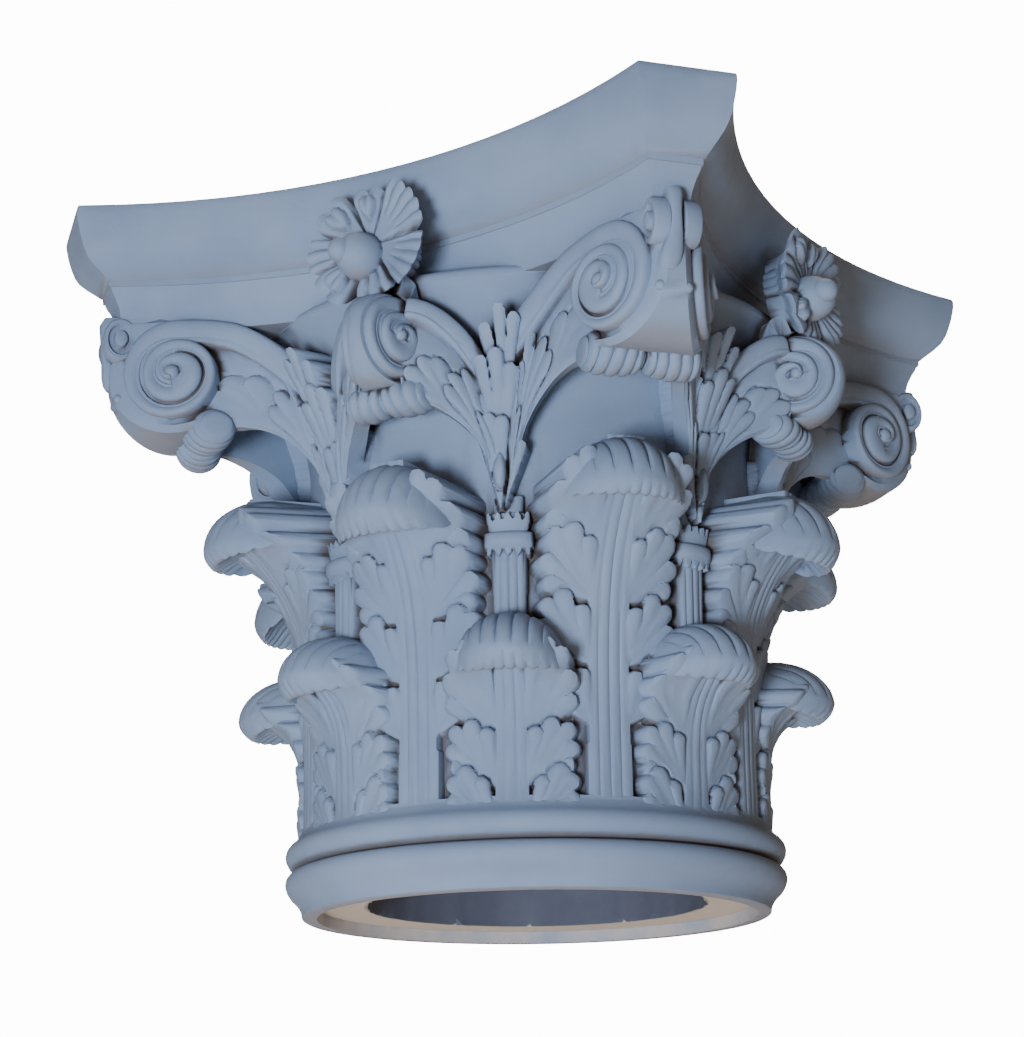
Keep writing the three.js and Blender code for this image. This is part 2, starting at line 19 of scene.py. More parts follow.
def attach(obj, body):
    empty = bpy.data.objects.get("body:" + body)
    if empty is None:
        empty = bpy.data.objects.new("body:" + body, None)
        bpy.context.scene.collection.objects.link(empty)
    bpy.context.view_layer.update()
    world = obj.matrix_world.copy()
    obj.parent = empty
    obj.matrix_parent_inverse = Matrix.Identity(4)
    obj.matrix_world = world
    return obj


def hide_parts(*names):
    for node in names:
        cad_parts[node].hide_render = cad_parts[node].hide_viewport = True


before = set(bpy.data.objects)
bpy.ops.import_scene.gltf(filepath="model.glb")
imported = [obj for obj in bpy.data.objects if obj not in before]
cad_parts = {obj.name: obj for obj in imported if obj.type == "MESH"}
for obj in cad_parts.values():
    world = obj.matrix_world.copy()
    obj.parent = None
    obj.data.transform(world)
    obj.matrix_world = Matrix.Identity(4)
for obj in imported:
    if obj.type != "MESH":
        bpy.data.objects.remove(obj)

log = logging.getLogger("capital")

MM = 0.001
QUARTERS = 4
EIGHTHS = 8
CORE_RADIUS = 128.0
Point = tuple[float, float]


def mix(low: float, high: float, share: float) -> float:
    """A value part of the way from low to high."""
    return low + (high - low) * share


def clamp(value: float, low: float = 0.0, high: float = 1.0) -> float:
    """The value, held between two limits."""
    return max(low, min(high, value))


def ease(share: float) -> float:
    """A share of 0 to 1, eased at both ends."""
    share = clamp(share)
    return share * share * (3 - 2 * share)


def round_swell(offset: float) -> float:
    """The height of a half circle of radius 1 at an offset from its middle."""
    return math.sqrt(max(0.0, 1 - offset * offset))


def beside_axis(radius: float, side: float, z: float) -> Vector:
    """A point by its distance from the axis, its sideways distance and its height."""
    return Vector((math.sqrt(max(radius * radius - side * side, 1.0)), side, z))


def round_axis(degrees: float, radius: float, z: float) -> Vector:
    """A point by its angle round the axis, its radius and its height."""
    angle = math.radians(degrees)
    return Vector((radius * math.cos(angle), radius * math.sin(angle), z))


def arc(centre: Point, reach: float, rise: float, start: float, end: float, steps: int) -> list[Point]:
    """Points on an elliptical arc.

    Args:
        centre: the arc's centre.
        reach: its half width.
        rise: its half height.
        start: first angle in degrees.
        end: last angle in degrees.
        steps: number of steps between the two.

    Returns:
        The points, both ends included.
    """
    points = []
    for i in range(steps + 1):
        angle = math.radians(mix(start, end, i / steps))
        points.append((centre[0] + reach * math.cos(angle), centre[1] + rise * math.sin(angle)))
    return points


def along(points: Sequence[Sequence[float]], share: float) -> list[float]:
    """A place on a smooth curve through points.

    Args:
        points: the points that the curve runs through.
        share: how far along it, from 0 to 1.

    Returns:
        The coordinates there.
    """
    last = len(points) - 1
    place = clamp(share) * last
    i = min(int(place), last - 1)
    t = place - i
    before, start, end, after = (points[clamp_index(i + k, last)] for k in (-1, 0, 1, 2))
    return [
        0.5 * (2 * b + (c - a) * t + (2 * a - 5 * b + 4 * c - d) * t * t + (3 * b - a - 3 * c + d) * t ** 3)
        for a, b, c, d in zip(before, start, end, after)
    ]


def clamp_index(i: int, last: int) -> int:
    """An index held between 0 and the last one."""
    return max(0, min(last, i))


def off_reed(side: float, half: float, reeds: int) -> float:
    """How far off the middle of its reed a place lies, from -1 to 1."""
    across = (side / half + 1) / 2 * reeds
    return 2 * (across - math.floor(across)) - 1


class Mould:
    """Ways to make closed shells, each from one of Blender's own shapes."""

    @staticmethod
    def sheet(columns: int, rows: int, place: Callable[[float, float], Vector]) -> bmesh.types.BMesh:
        """A grid laid over a surface.

        Args:
            columns: number of steps across.
            rows: number of steps up.
            place: gives the point for two shares from 0 to 1.

        Returns:
            The open sheet.
        """
        bm = bmesh.new()
        bmesh.ops.create_grid(bm, x_segments=columns, y_segments=rows, size=0.5)
        for vert in bm.verts:
            vert.co = place(vert.co.x + 0.5, vert.co.y + 0.5)
        return bm

    @staticmethod
    def backed(bm: bmesh.types.BMesh, sink: Callable[[Vector], Vector]) -> bmesh.types.BMesh:
        """Closes an open sheet with walls and a back.

        Args:
            bm: the sheet.
            sink: gives a rim point's place on the back.

        Returns:
            The same mesh, closed.
        """
        rim = [edge for edge in bm.edges if edge.is_boundary]
        pulled = bmesh.ops.extrude_edge_only(bm, edges=rim)
        for item in pulled["geom"]:
            if isinstance(item, bmesh.types.BMVert):
                item.co = sink(item.co)
        rim = [edge for edge in bm.edges if edge.is_boundary]
        bmesh.ops.edgeloop_fill(bm, edges=rim)
        bmesh.ops.remove_doubles(bm, verts=bm.verts[:], dist=1e-4)
        bm.normal_update()
        bmesh.ops.triangulate(bm, faces=[face for face in bm.faces if len(face.verts) > 4])
        bmesh.ops.recalc_face_normals(bm, faces=bm.faces[:])
        return bm

    @staticmethod
    def behind(radius: float) -> Callable[[Vector], Vector]:
        """Gives a rim point's place straight behind it, at a radius inside the bell."""

        def sink(point: Vector) -> Vector:
            away = math.hypot(point.x, point.y)
            return Vector((point.x * radius / away, point.y * radius / away, point.z))

        return sink

    @staticmethod
    def tube(loops: Sequence[Sequence[Vector]]) -> bmesh.types.BMesh:
        """A closed shell pulled along a row of closed outlines.

        Args:
            loops: the outlines, each with as many points.

        Returns:
            The shell, with flat ends.
        """
        bm = bmesh.new()
        foot = [bm.verts.new(point) for point in loops[0]]
        face = bm.faces.new(foot)
        for loop in loops[1:]:
            face = bmesh.ops.extrude_discrete_faces(bm, faces=[face])["faces"][0]
            for vert, point in zip(face.verts, loop):
                vert.co = point
        bm.faces.new(foot)
        bm.normal_update()
        bmesh.ops.triangulate(bm, faces=[face for face in bm.faces if len(face.verts) > 4])
        bmesh.ops.recalc_face_normals(bm, faces=bm.faces[:])
        return bm

    @staticmethod
    def turned(profile: Sequence[Point], steps: int) -> bmesh.types.BMesh:
        """A turned solid.

        Args:
            profile: points of radius and height, from axis to axis.
            steps: number of steps round the axis.

        Returns:
            The closed shell.
        """
        bm = bmesh.new()
        verts = [bm.verts.new((radius, 0, z)) for radius, z in profile]
        edges = [bm.edges.new(pair) for pair in zip(verts, verts[1:])]
        bmesh.ops.spin(bm, geom=verts + edges, cent=(0, 0, 0), axis=(0, 0, 1), angle=math.tau,
                       steps=steps, use_merge=True)
        bmesh.ops.remove_doubles(bm, verts=bm.verts[:], dist=1e-4)
        bmesh.ops.recalc_face_normals(bm, faces=bm.faces[:])
        return bm

    @staticmethod
    def shell(name: str, bm: bmesh.types.BMesh) -> bpy.types.Object:
        """An object made of a finished mesh."""
        mesh = bpy.data.meshes.new(name)
        bm.to_mesh(mesh)
        bm.free()
        shell = bpy.data.objects.new(name, mesh)
        bpy.context.scene.collection.objects.link(shell)
        return shell

    @staticmethod
    def settled(shell: bpy.types.Object) -> bpy.types.Object:
        """Applies what modifiers a shell has."""
        depsgraph = bpy.context.evaluated_depsgraph_get()
        mesh = bpy.data.meshes.new_from_object(shell.evaluated_get(depsgraph))
        shell.modifiers.clear()
        old = shell.data
        shell.data = mesh
        bpy.data.meshes.remove(old)
        return shell

    @staticmethod
    def thinned(shell: bpy.types.Object, limit: int) -> bpy.types.Object:
        """Brings a shell under a number of triangles, where its surface changes least."""
        bm = bmesh.new()
        bm.from_mesh(shell.data)
        bmesh.ops.triangulate(bm, faces=bm.faces[:])
        count = len(bm.faces)
        if count > limit:
            bm.to_mesh(shell.data)
            thin = shell.modifiers.new("thin", "DECIMATE")
            thin.ratio = limit / count
            Mould.settled(shell)
        bm.free()
        return shell

    @staticmethod
    def joined(shells: Sequence[bpy.types.Object]) -> bpy.types.Object:
        """Joins overlapping shells into one skin, in the first of them."""
        whole = shells[0]
        for other in shells[1:]:
            join = whole.modifiers.new("join", "BOOLEAN")
            join.operation = "UNION"
            join.solver = "MANIFOLD"
            join.object = other
            Mould.settled(whole)
            Mould.discard(other)
        return whole

    @staticmethod
    def cut(whole: bpy.types.Object, tool: bpy.types.Object) -> bpy.types.Object:
        """Cuts a tool's shape out of a shell."""
        cut = whole.modifiers.new("cut", "BOOLEAN")
        cut.operation = "DIFFERENCE"
        cut.solver = "MANIFOLD"
        cut.object = tool
        Mould.settled(whole)
        Mould.discard(tool)
        return whole

    @staticmethod
    def discard(shell: bpy.types.Object) -> None:
        """Removes a shell that has been used up."""
        mesh = shell.data
        bpy.data.objects.remove(shell)
        bpy.data.meshes.remove(mesh)

    @staticmethod
    def around(shell: bpy.types.Object, count: int, first: float) -> bpy.types.Object:
        """Repeats a shell round the axis, in one mesh.

        Args:
            shell: the shell, made on the X axis. It is used up.
            count: number of copies.
            first: angle of the first copy, in degrees.

        Returns:
            One object with all the copies.
        """
        bm = bmesh.new()
        for i in range(count):
            start = len(bm.verts)
            bm.from_mesh(shell.data)
            bm.verts.ensure_lookup_table()
            turn = Matrix.Rotation(math.radians(first + 360 / count * i), 3, "Z")
            bmesh.ops.rotate(bm, verts=bm.verts[start:], cent=(0, 0, 0), matrix=turn)
        name = shell.name
        Mould.discard(shell)
        return Mould.shell(name, bm)

    @staticmethod
    def mirrored(bm: bmesh.types.BMesh) -> bmesh.types.BMesh:
        """The other hand of a closed shell, across the plane of X and Z."""
        other = bm.copy()
        bmesh.ops.scale(other, vec=(1, -1, 1), verts=other.verts[:])
        bmesh.ops.reverse_faces(other, faces=other.faces[:])
        return other


@dataclass(frozen=True)
class Bell:
    """The bell behind the leaves, with the ring at its foot and the bore through it."""

    height: float = 459.0
    astragal_top: float = 55.6
    lip_inner_radius: float = 144.0
    rebate_depth: float = 8.0
    bore_radius: float = 112.0
    neck_radius: float = 147.0
    flare_z: float = 280.0
    flare_radius: float = 151.0
    lip_radius: float = 188.0
    lip_z: float = 380.0
    lip_round: float = 6.0
    flare_power: float = 2.5
    round_steps: int = 144
    rise_steps: int = 18
    rim_noise: float = 2.6
    rim_scales: Point = (0.13, 0.4)
    overcut: float = 5.0
    ring: tuple[Point, ...] = (
        (152.6, 0), (153.8, 0.7), (154.2, 3.2), (155, 5.6), (156.4, 8), (158.4, 10.6), (161.4, 13.4),
        (163.6, 16.6), (164.7, 19.6), (165, 22), (164.4, 24.6), (162.6, 27), (159.8, 28.5), (156.4, 29.2),
        (154.8, 29.7), (156.6, 30.3), (160.2, 31.6), (163, 34), (164.6, 37), (165, 40), (164.2, 43),
        (162.4, 45.4), (160.4, 46.8), (158, 49.4), (156.2, 52), (155.4, 53.6), (155.2, 55.2), (153, 55.6),
    )

    def radius(self, z: float) -> float:
        """The bell's outer radius at a height."""
        share = clamp((z - self.astragal_top) / (self.flare_z - self.astragal_top))
        neck = mix(self.neck_radius, self.flare_radius, share)
        flare = clamp((z - self.flare_z) / (self.lip_z - self.flare_z)) ** self.flare_power
        return mix(neck, self.lip_radius, flare)

    def profile(self) -> list[Point]:
        """The outline from the underside to the lip, from axis to axis."""
        low, high = self.astragal_top + 1, self.lip_z - self.lip_round
        rise = [mix(low, high, i / self.rise_steps) for i in range(self.rise_steps + 1)]
        lip_centre = (self.lip_radius - self.lip_round, self.lip_z)
        return [
            (0, 0),
            *self.ring,
            *((self.radius(z), z) for z in rise),
            *arc(lip_centre, self.lip_round, self.lip_round, -10, 90, 6),
            (0, self.lip_z + self.lip_round),
        ]

    def build(self) -> bpy.types.Object:
        """The ring and the bell, solid to the axis."""
        return Mould.shell("bell", Mould.turned(self.profile(), self.round_steps))

    def hollow(self) -> bpy.types.Object:
        """The bore and the rebate under the foot, as a shape to cut out."""
        profile = [
            (0, -self.overcut),
            (self.lip_inner_radius, -self.overcut),
            (self.lip_inner_radius, self.rebate_depth),
            (self.bore_radius, self.rebate_depth),
            (self.bore_radius, self.rebate_depth + self.overcut),
            (self.bore_radius, self.height + self.overcut),
            (0, self.height + self.overcut),
        ]
        bm = Mould.turned(profile, self.round_steps)
        for vert in bm.verts:
            away = math.hypot(vert.co.x, vert.co.y)
            if abs(vert.co.z - self.rebate_depth) < 0.1 and away < self.bore_radius + 1:
                broad, fine = (noise.noise(vert.co * scale) for scale in self.rim_scales)
                rough = self.rim_noise * broad + 0.5 * self.rim_noise * fine
                share = 1 - rough / self.bore_radius
                vert.co.x *= share
                vert.co.y *= share
        return Mould.shell("hollow", bm)


@dataclass(frozen=True)
class Abacus:
    """The moulded slab on top: a plan with four hollow sides and cut corners."""

    reach: float = 249.1
    middle: float = 196.5
    side_steps: int = 40
    levels: tuple[tuple[float, float, float], ...] = (
        (380, 38.5, 22.5),
        (388, 37.8, 23.5),
        (395, 35.8, 26),
        (401, 32.8, 29),
        (405, 30, 32),
        (408.4, 28.4, 34),
        (408.6, 27.2, 35),
        (412.4, 27.0, 35),
        (412.8, 25.6, 36.5),
        (416, 21.5, 41),
        (420, 16, 45.5),
        (425, 10.4, 51),
        (430, 7, 54.8),
        (436, 4.4, 57.8),
        (444, 1.9, 60.2),
        (451, 0.4, 61.6),
        (454, 0, 62),
        (456.5, 0.1, 62),
        (458.4, 0.8, 61.6),
        (459, 2.2, 60.8),
    )

    def outline(self, z: float, inset: float, cant: float) -> list[Vector]:
        """The plan at one height.

        Args:
            z: the height.
            inset: how far it is set in from the top outline.
            cant: the width of its cut corners.

        Returns:
            The points round it.
        """
        half = self.reach - inset - cant / math.sqrt(2)
        sagitta = self.reach - self.middle
        radius = (half * half + sagitta * sagitta) / (2 * sagitta)
        spread = math.asin(half / radius)
        loop = []
        for quarter in range(QUARTERS):
            turn = Matrix.Rotation(math.pi / 2 * quarter, 3, "Z")
            for i in range(self.side_steps + 1):
                angle = mix(-spread, spread, i / self.side_steps)
                out = self.middle - inset + radius * (1 - math.cos(angle))
                loop.append(turn @ Vector((out, radius * math.sin(angle), z)))
        return loop

    def build(self) -> bpy.types.Object:
        """The abacus, solid to the axis."""
        return Mould.shell("abacus", Mould.tube([self.outline(*level) for level in self.levels]))


@dataclass(frozen=True)
class Leaflet:
    """One lobe of a fan: a teardrop from the hub to a round tip."""

    side: float
    rise: float
    half_width: float

    def sample(self, side: float, rise: float) -> tuple[float, float, float]:
        """Where a point lies in the lobe.

        Args:
            side: sideways distance from the hub.
            rise: height above the hub.

        Returns:
            The distance inside its edge, its swell from 0 to 1, and the share of its length.
        """
        length = math.hypot(self.side, self.rise)
        along_x, along_z = self.side / length, self.rise / length
        run = side * along_x + rise * along_z
        off = abs(side * along_z - rise * along_x)
        knee = length - self.half_width
        width = self.half_width * mix(0.3, 1, clamp(run / knee) ** 0.8)
        past = max(0.0, run - knee, -run)
        gap = math.hypot(off, past)
        return width - gap, round_swell(min(gap / width, 1)), clamp(run / length)


@dataclass(frozen=True)
class Fan:
    """A fan of lobes that springs from a hub."""

    side: float
    z: float
    lobes: tuple[Leaflet, ...]

    def sample(self, side: float, z: float) -> tuple[float, float, float]:
        """Where a point lies in the fan, read off the lobe that stands highest there."""
        best = (-math.inf, 0.0, 0.0)
        for lobe in self.lobes:
            here = lobe.sample(side - self.side, z - self.z)
            if here[0] > best[0]:
                best = here
        return best


def fan(side: float, z: float, half_width: float, *tips: Point) -> Fan:
    """A fan from its hub and the tips of its lobes, all from the leaf's middle line and the foot."""
    lobes = tuple(Leaflet(tip_side - side, tip_z - z, half_width) for tip_side, tip_z in tips)
    return Fan(side, z, lobes)


@dataclass(frozen=True)
class Acanthus:
    """An acanthus leaf: ribs up its middle, fans of lobes beside them and a curled-over cap."""

    name: str
    bell: Bell
    fans: tuple[Fan, ...]
    reeds: int
    rib_half: float
    rib_spread: float
    foot_z: float
    foot_radius: float
    under: Point
    lip: tuple[Point, ...]
    crown: Point
    cap_half: float
    top_z: float
    half_width: float
    limit: int
    spread_power: float = 5.0
    plate_fall: float = 0.45
    rib_rise: float = 2.6
    lobe_swell: float = 3.0
    lobe_lean: float = 4.2
    lobe_start: float = 1.8
    edge_round: float = 1.6
    slot_width: float = 2.2
    slot_depth: float = 2.8
    web_share: float = 0.8
    web_slope: float = 0.75
    web_depth: float = 2.4
    tip_lean: float = 12.0
    tip_from: float = 16.0
    sunk: float = 7.0
    step: float = 1.0
    flutes: int = 11
    flute_depth: float = 2.8
    soffit_reed: float = 6.6
    soffit_depth: float = 1.8
    cap_steps: int = 132
    cap_rows: int = 34
    cap_limit: int = 1900

    def face(self, z: float) -> float:
        """The radius of the leaf's middle line."""
        share = clamp((z - self.foot_z) / (self.under[1] - self.foot_z))
        return mix(self.foot_radius, self.under[0], share ** self.spread_power)

    def plate(self, side: float, z: float) -> float:
        """The radius of the plain leaf, which falls back towards its edges but not beside the cap."""
        bell = self.bell.radius(z)
        beside = ease((z - self.under[1] + self.tip_from) / (2 * self.tip_from))
        share = clamp(abs(side) / self.half_width)
        fall = self.plate_fall * share ** 2 * (1 - 0.6 * beside)
        return mix(bell, self.face(z), 1 - fall) + self.tip_lean * beside * ease(share / 0.6)

    def in_web(self, side: float, z: float) -> bool:
        """Whether a place lies within the leaf's outline, between its fans."""
        lowest = self.fans[-1]
        floor = lowest.z + self.web_slope * (abs(side) - lowest.side)
        return abs(side) < self.web_share * self.half_width and floor < z < self.under[1]

    def rib(self, side: float, z: float) -> float | None:
        """The radius of the ribs up the middle, or None beside them."""
        half = self.rib_half + self.rib_spread * clamp((self.under[1] - z) / (self.under[1] - self.foot_z))
        if abs(side) > half:
            return None
        offset = off_reed(side, half, self.reeds)
        crown = 1 - 0.35 * (side / half) ** 2
        return self.face(z) + self.rib_rise * crown * (0.35 + 0.65 * round_swell(offset * 0.98))

    def surface(self, side: float, z: float) -> float:
        """The carved radius at a place on the leaf."""
        plate = self.plate(side, z)
        sunk = self.bell.radius(z) - self.sunk
        level = plate - self.web_depth if self.in_web(side, z) else sunk
        for tier in self.fans:
            depth, swell, reach = tier.sample(abs(side), z)
            if depth > 0:
                edge = ease(0.25 + 0.75 * depth / self.edge_round)
                raised = self.lobe_start + self.lobe_lean * reach ** 1.6 + self.lobe_swell * (swell - 1)
                level = mix(max(level, sunk), plate + raised, edge)
            elif depth > -self.slot_width:
                slot = self.slot_depth * (1 + depth / self.slot_width)
                level -= slot
        rib = self.rib(side, z)
        return level if rib is None else max(level, rib)

    def blade(self) -> bmesh.types.BMesh:
        """The face of the leaf, closed behind."""
        columns = round(2 * self.half_width / self.step)
        rows = round((self.top_z - self.foot_z) / self.step)

        def place(across: float, up: float) -> Vector:
            side = mix(-self.half_width, self.half_width, across)
            z = mix(self.foot_z, self.top_z, up)
            return beside_axis(self.surface(side, z), side, z)

        return Mould.backed(Mould.sheet(columns, rows, place), Mould.behind(CORE_RADIUS))

    def outline(self) -> list[Point]:
        """The cap's outline in its middle plane, from under it, round the lip, to the crown."""
        tip = self.lip[-1]
        crown = arc((self.crown[0], tip[1]), tip[0] - self.crown[0], self.crown[1] - tip[1], 8, 90, 12)
        return [self.under, *self.lip, *crown]

    def cap(self) -> bmesh.types.BMesh:
        """The curled-over cap: a half dome with flutes."""
        tip_z = self.lip[-1][1]
        outline = self.outline()
        reach = self.lip[-1][0] - self.crown[0]

        def place(across: float, up: float) -> Vector:
            angle = mix(-math.pi / 2, math.pi / 2, across)
            dome = math.cos(angle)
            radius, z = along(outline, up)
            frac = across * self.flutes % 1.0
            groove = abs(2 * frac - 1) ** 4
            low = z < tip_z
            fade = ease((up - 0.3) / 0.15) * ease((1 - up) / 0.06) * (0.45 + 0.55 * dome)
            shrink = 1 - groove * fade * self.flute_depth / reach
            tall = (dome ** 0.45 if low else dome) * (1 if low else shrink)
            out = self.crown[0] + (radius - self.crown[0]) * dome * shrink
            side = self.cap_half * math.sin(angle) * (1 - 0.04 * ease(up))
            reed = abs(2 * (side / self.soffit_reed % 1.0) - 1) ** 2 * self.soffit_depth
            height = tip_z + (z - tip_z) * tall + (reed * ease((0.36 - up) / 0.1) if low else 0)
            return beside_axis(out, side, height)

        return Mould.backed(Mould.sheet(self.cap_steps, self.cap_rows, place), Mould.behind(CORE_RADIUS))

    def build(self) -> bpy.types.Object:
        """One leaf, on the X axis."""
        cap = Mould.thinned(Mould.shell("cap", self.cap()), self.cap_limit)
        blade = Mould.thinned(Mould.shell(self.name, self.blade()), self.limit - self.cap_limit)
        return Mould.joined([blade, cap])


def lower_leaf(bell: Bell) -> Acanthus:
    """The leaf of the lower row."""
    return Acanthus(
        name="lower_leaf", bell=bell, reeds=3, rib_half=9.0, rib_spread=1.8,
        fans=(
            fan(9, 92, 6.4, (16, 136), (27, 147), (36, 141), (41, 128), (41, 115)),
            fan(9, 62, 6.2, (16.5, 97), (27.5, 102), (38, 99), (41, 87), (38.5, 76)),
            fan(9, 33, 6.2, (21, 67), (31.5, 74), (40, 68), (41, 56)),
        ),
        foot_z=50, foot_radius=154, under=(172, 131),
        lip=((179, 130), (185, 127.5), (190, 124.3), (194, 125.2), (199, 130), (201.6, 136)),
        crown=(160, 166), cap_half=35, top_z=156, half_width=47, limit=5000, tip_lean=10, tip_from=13,
    )


def upper_leaf(bell: Bell) -> Acanthus:
    """The leaf of the upper row that stands under a corner."""
    return Acanthus(
        name="upper_leaf", bell=bell, reeds=4, rib_half=12.8, rib_spread=1.5,
        fans=(
            fan(12, 205, 7.2, (19, 246), (30, 260), (40, 253), (45.5, 239), (45, 225)),
            fan(12, 176, 6.8, (18, 212), (30, 219), (41.5, 216), (45.5, 201), (43, 187)),
            fan(12, 137, 6.8, (19, 173), (32, 181), (42.5, 176), (46, 162), (43, 148)),
            fan(12, 100, 6.8, (19, 134), (32, 142), (42.5, 137), (46, 124)),
        ),
        foot_z=50, foot_radius=153, under=(196, 237),
        lip=((206, 233.5), (214, 228), (219, 225.2), (223, 228), (225.6, 233), (226, 237)),
        crown=(184, 271), cap_half=39, top_z=270, half_width=51, limit=7400,
    )


def face_leaf(bell: Bell) -> Acanthus:
    """The leaf of the upper row that stands under a fleuron."""
    return Acanthus(
        name="face_leaf", bell=bell, reeds=4, rib_half=12.8, rib_spread=1.5,
        fans=(
            fan(12, 196, 7.2, (19, 237), (30, 251), (40, 244), (45.5, 230), (45, 216)),
            fan(12, 168, 6.8, (18, 203), (30, 210), (41.5, 207), (45.5, 192), (43, 178)),
            fan(12, 131, 6.8, (19, 166), (32, 174), (42.5, 169), (46, 155), (43, 142)),
            fan(12, 95, 6.8, (19, 129), (32, 137), (42.5, 132), (46, 119)),
        ),
        foot_z=50, foot_radius=153, under=(191, 228),
        lip=((200, 221), (207, 213), (212, 209.2), (216, 212), (220, 217), (222, 223)),
        crown=(180, 261), cap_half=38, top_z=261, half_width=51, limit=7400,
    )


@dataclass(frozen=True)
class Cauliculus:
    """A stalk between the leaves: flutes, a collar, a crown of points, and the calyx above it."""

    bell: Bell
    foot_z: float = 118.0
    top_z: float = 362.0
    half_width: float = 26.0
    stalk_half: float = 11.5
    stalk_rise: float = 8.0
    reeds: int = 4
    collar_z: float = 213.5
    collar_half_height: float = 4.6
    collar_half: float = 15.5
    collar_rise: float = 13.0
    drape_z: float = 203.0
    crown_top: float = 231.0
    crown_points: int = 5
    crown_rise: float = 11.5
    neck_half: float = 9.5
    neck_top: float = 243.0
    bud_side: float = -4.0
    bud_z: float = 257.0
    bud_half: float = 4.6
    bud_height: float = 11.0
    calyx_rise: float = 13.5
    calyx_lean: float = 17.0
    lean_from: float = 262.0
    lean_over: float = 76.0
    lobe_start: float = 0.5
    lobe_lean: float = 5.5
    lobe_swell: float = 3.0
    edge_round: float = 1.4
    slot_width: float = 1.8
    slot_depth: float = 2.6
    sunk: float = 6.0
    step: float = 0.9
    limit: int = 3200
    fans: tuple[Fan, ...] = (
        fan(1, 296, 5.4, (-11, 345), (-0.5, 355), (9.5, 350)),
        fan(3, 262, 4.6, (19.5, 340), (14, 322)),
        fan(-2, 262, 5.6, (-15, 327), (-4.5, 330), (6, 321)),
        fan(-6, 240, 4.2, (-20.5, 303), (-16, 290)),
        fan(-1, 236, 4.6, (9.5, 292), (11, 276)),
        fan(-4, 234, 5.6, (-11.5, 293), (-2, 291)),
    )

    def stalk(self, side: float, z: float) -> float:
        """The height of the fluted stalk above the bell."""
        half = self.stalk_half * mix(0.82, 1, clamp((z - self.foot_z) / (self.collar_z - self.foot_z)))
        if abs(side) > half or z > self.crown_top:
            return -self.sunk
        offset = off_reed(side, half, self.reeds)
        body = self.stalk_rise * (0.45 + 0.55 * round_swell(side / half))
        return body + 2.0 * round_swell(offset * 0.97)

    def collar(self, side: float, z: float) -> float:
        """The height of the collar, with the drape below it and the crown of points above it."""
        if abs(side) > self.collar_half:
            return -self.sunk
        bow = 0.6 + 0.4 * round_swell(side / self.collar_half)
        offset = (z - self.collar_z) / self.collar_half_height
        if abs(offset) <= 1:
            return (self.collar_rise + 2.6 * round_swell(offset)) * bow
        points = abs(math.sin(math.pi * self.crown_points * (side / self.collar_half + 1) / 2))
        if offset > 0:
            top = mix(self.crown_top - 6, self.crown_top, points)
            share = (z - self.collar_z) / (self.crown_top - self.collar_z)
            half = mix(0.72, 0.97, share) * self.collar_half
            inside = z < top and abs(side) < half
            return mix(self.crown_rise - 2, self.crown_rise + 2.5, share) * bow if inside else -self.sunk
        low = mix(self.collar_z - self.collar_half_height, self.drape_z, points)
        inside = z > low and abs(side) < 0.9 * self.collar_half
        return (self.collar_rise - 0.5) * bow if inside else -self.sunk

    def calyx(self, side: float, z: float) -> float:
        """The height of the neck, the bud and the leafy tiers."""
        level = -self.sunk
        plate = self.calyx_rise + self.calyx_lean * ease((z - self.lean_from) / self.lean_over)
        if self.crown_top - 8 < z < self.neck_top and abs(side) < self.neck_half:
            level = self.stalk_rise * (0.5 + 0.5 * round_swell(side / self.neck_half))
        for tier in self.fans:
            depth, swell, reach = tier.sample(side, z)
            if depth > 0:
                edge = ease(0.25 + 0.75 * depth / self.edge_round)
                fall = 1 - 0.2 * clamp(abs(side) / self.half_width) ** 2
                raised = self.lobe_start + self.lobe_lean * reach ** 1.5 + self.lobe_swell * (swell - 1)
                level = mix(max(level, -self.sunk), plate * fall + raised, edge)
            elif depth > -self.slot_width and level > 0:
                level -= self.slot_depth * (1 + depth / self.slot_width)
        taper = 1 - 0.45 * clamp((z - self.bud_z) / self.bud_height)
        bud = math.hypot((side - self.bud_side) / (self.bud_half * taper), (z - self.bud_z) / self.bud_height)
        if bud < 1:
            level = max(level, self.calyx_rise - 1.5) + 4.5 * round_swell(bud)
        elif bud < 1.25 and z < self.bud_z:
            level -= 2.5
        return level

    def surface(self, side: float, z: float) -> float:
        """The carved radius at a place on the stalk."""
        rise = max(self.stalk(side, z), self.collar(side, z), self.calyx(side, z))
        return self.bell.radius(z) + rise

    def build(self) -> bpy.types.Object:
        """A stalk on the X axis and its mirror image an eighth of a turn on. The first leans to the right."""
        columns = round(2 * self.half_width / self.step)
        rows = round((self.top_z - self.foot_z) / self.step)

        def place(across: float, up: float) -> Vector:
            side = mix(-self.half_width, self.half_width, across)
            z = mix(self.foot_z, self.top_z, up)
            return beside_axis(self.surface(side, z), side, z)

        right = Mould.backed(Mould.sheet(columns, rows, place), Mould.behind(CORE_RADIUS))
        left = Mould.mirrored(right)
        turn = Matrix.Rotation(math.pi / QUARTERS, 3, "Z")
        bmesh.ops.rotate(left, verts=left.verts[:], cent=(0, 0, 0), matrix=turn)
        hands = [Mould.thinned(Mould.shell("stalk", hand), self.limit) for hand in (right, left)]
        return Mould.joined(hands)


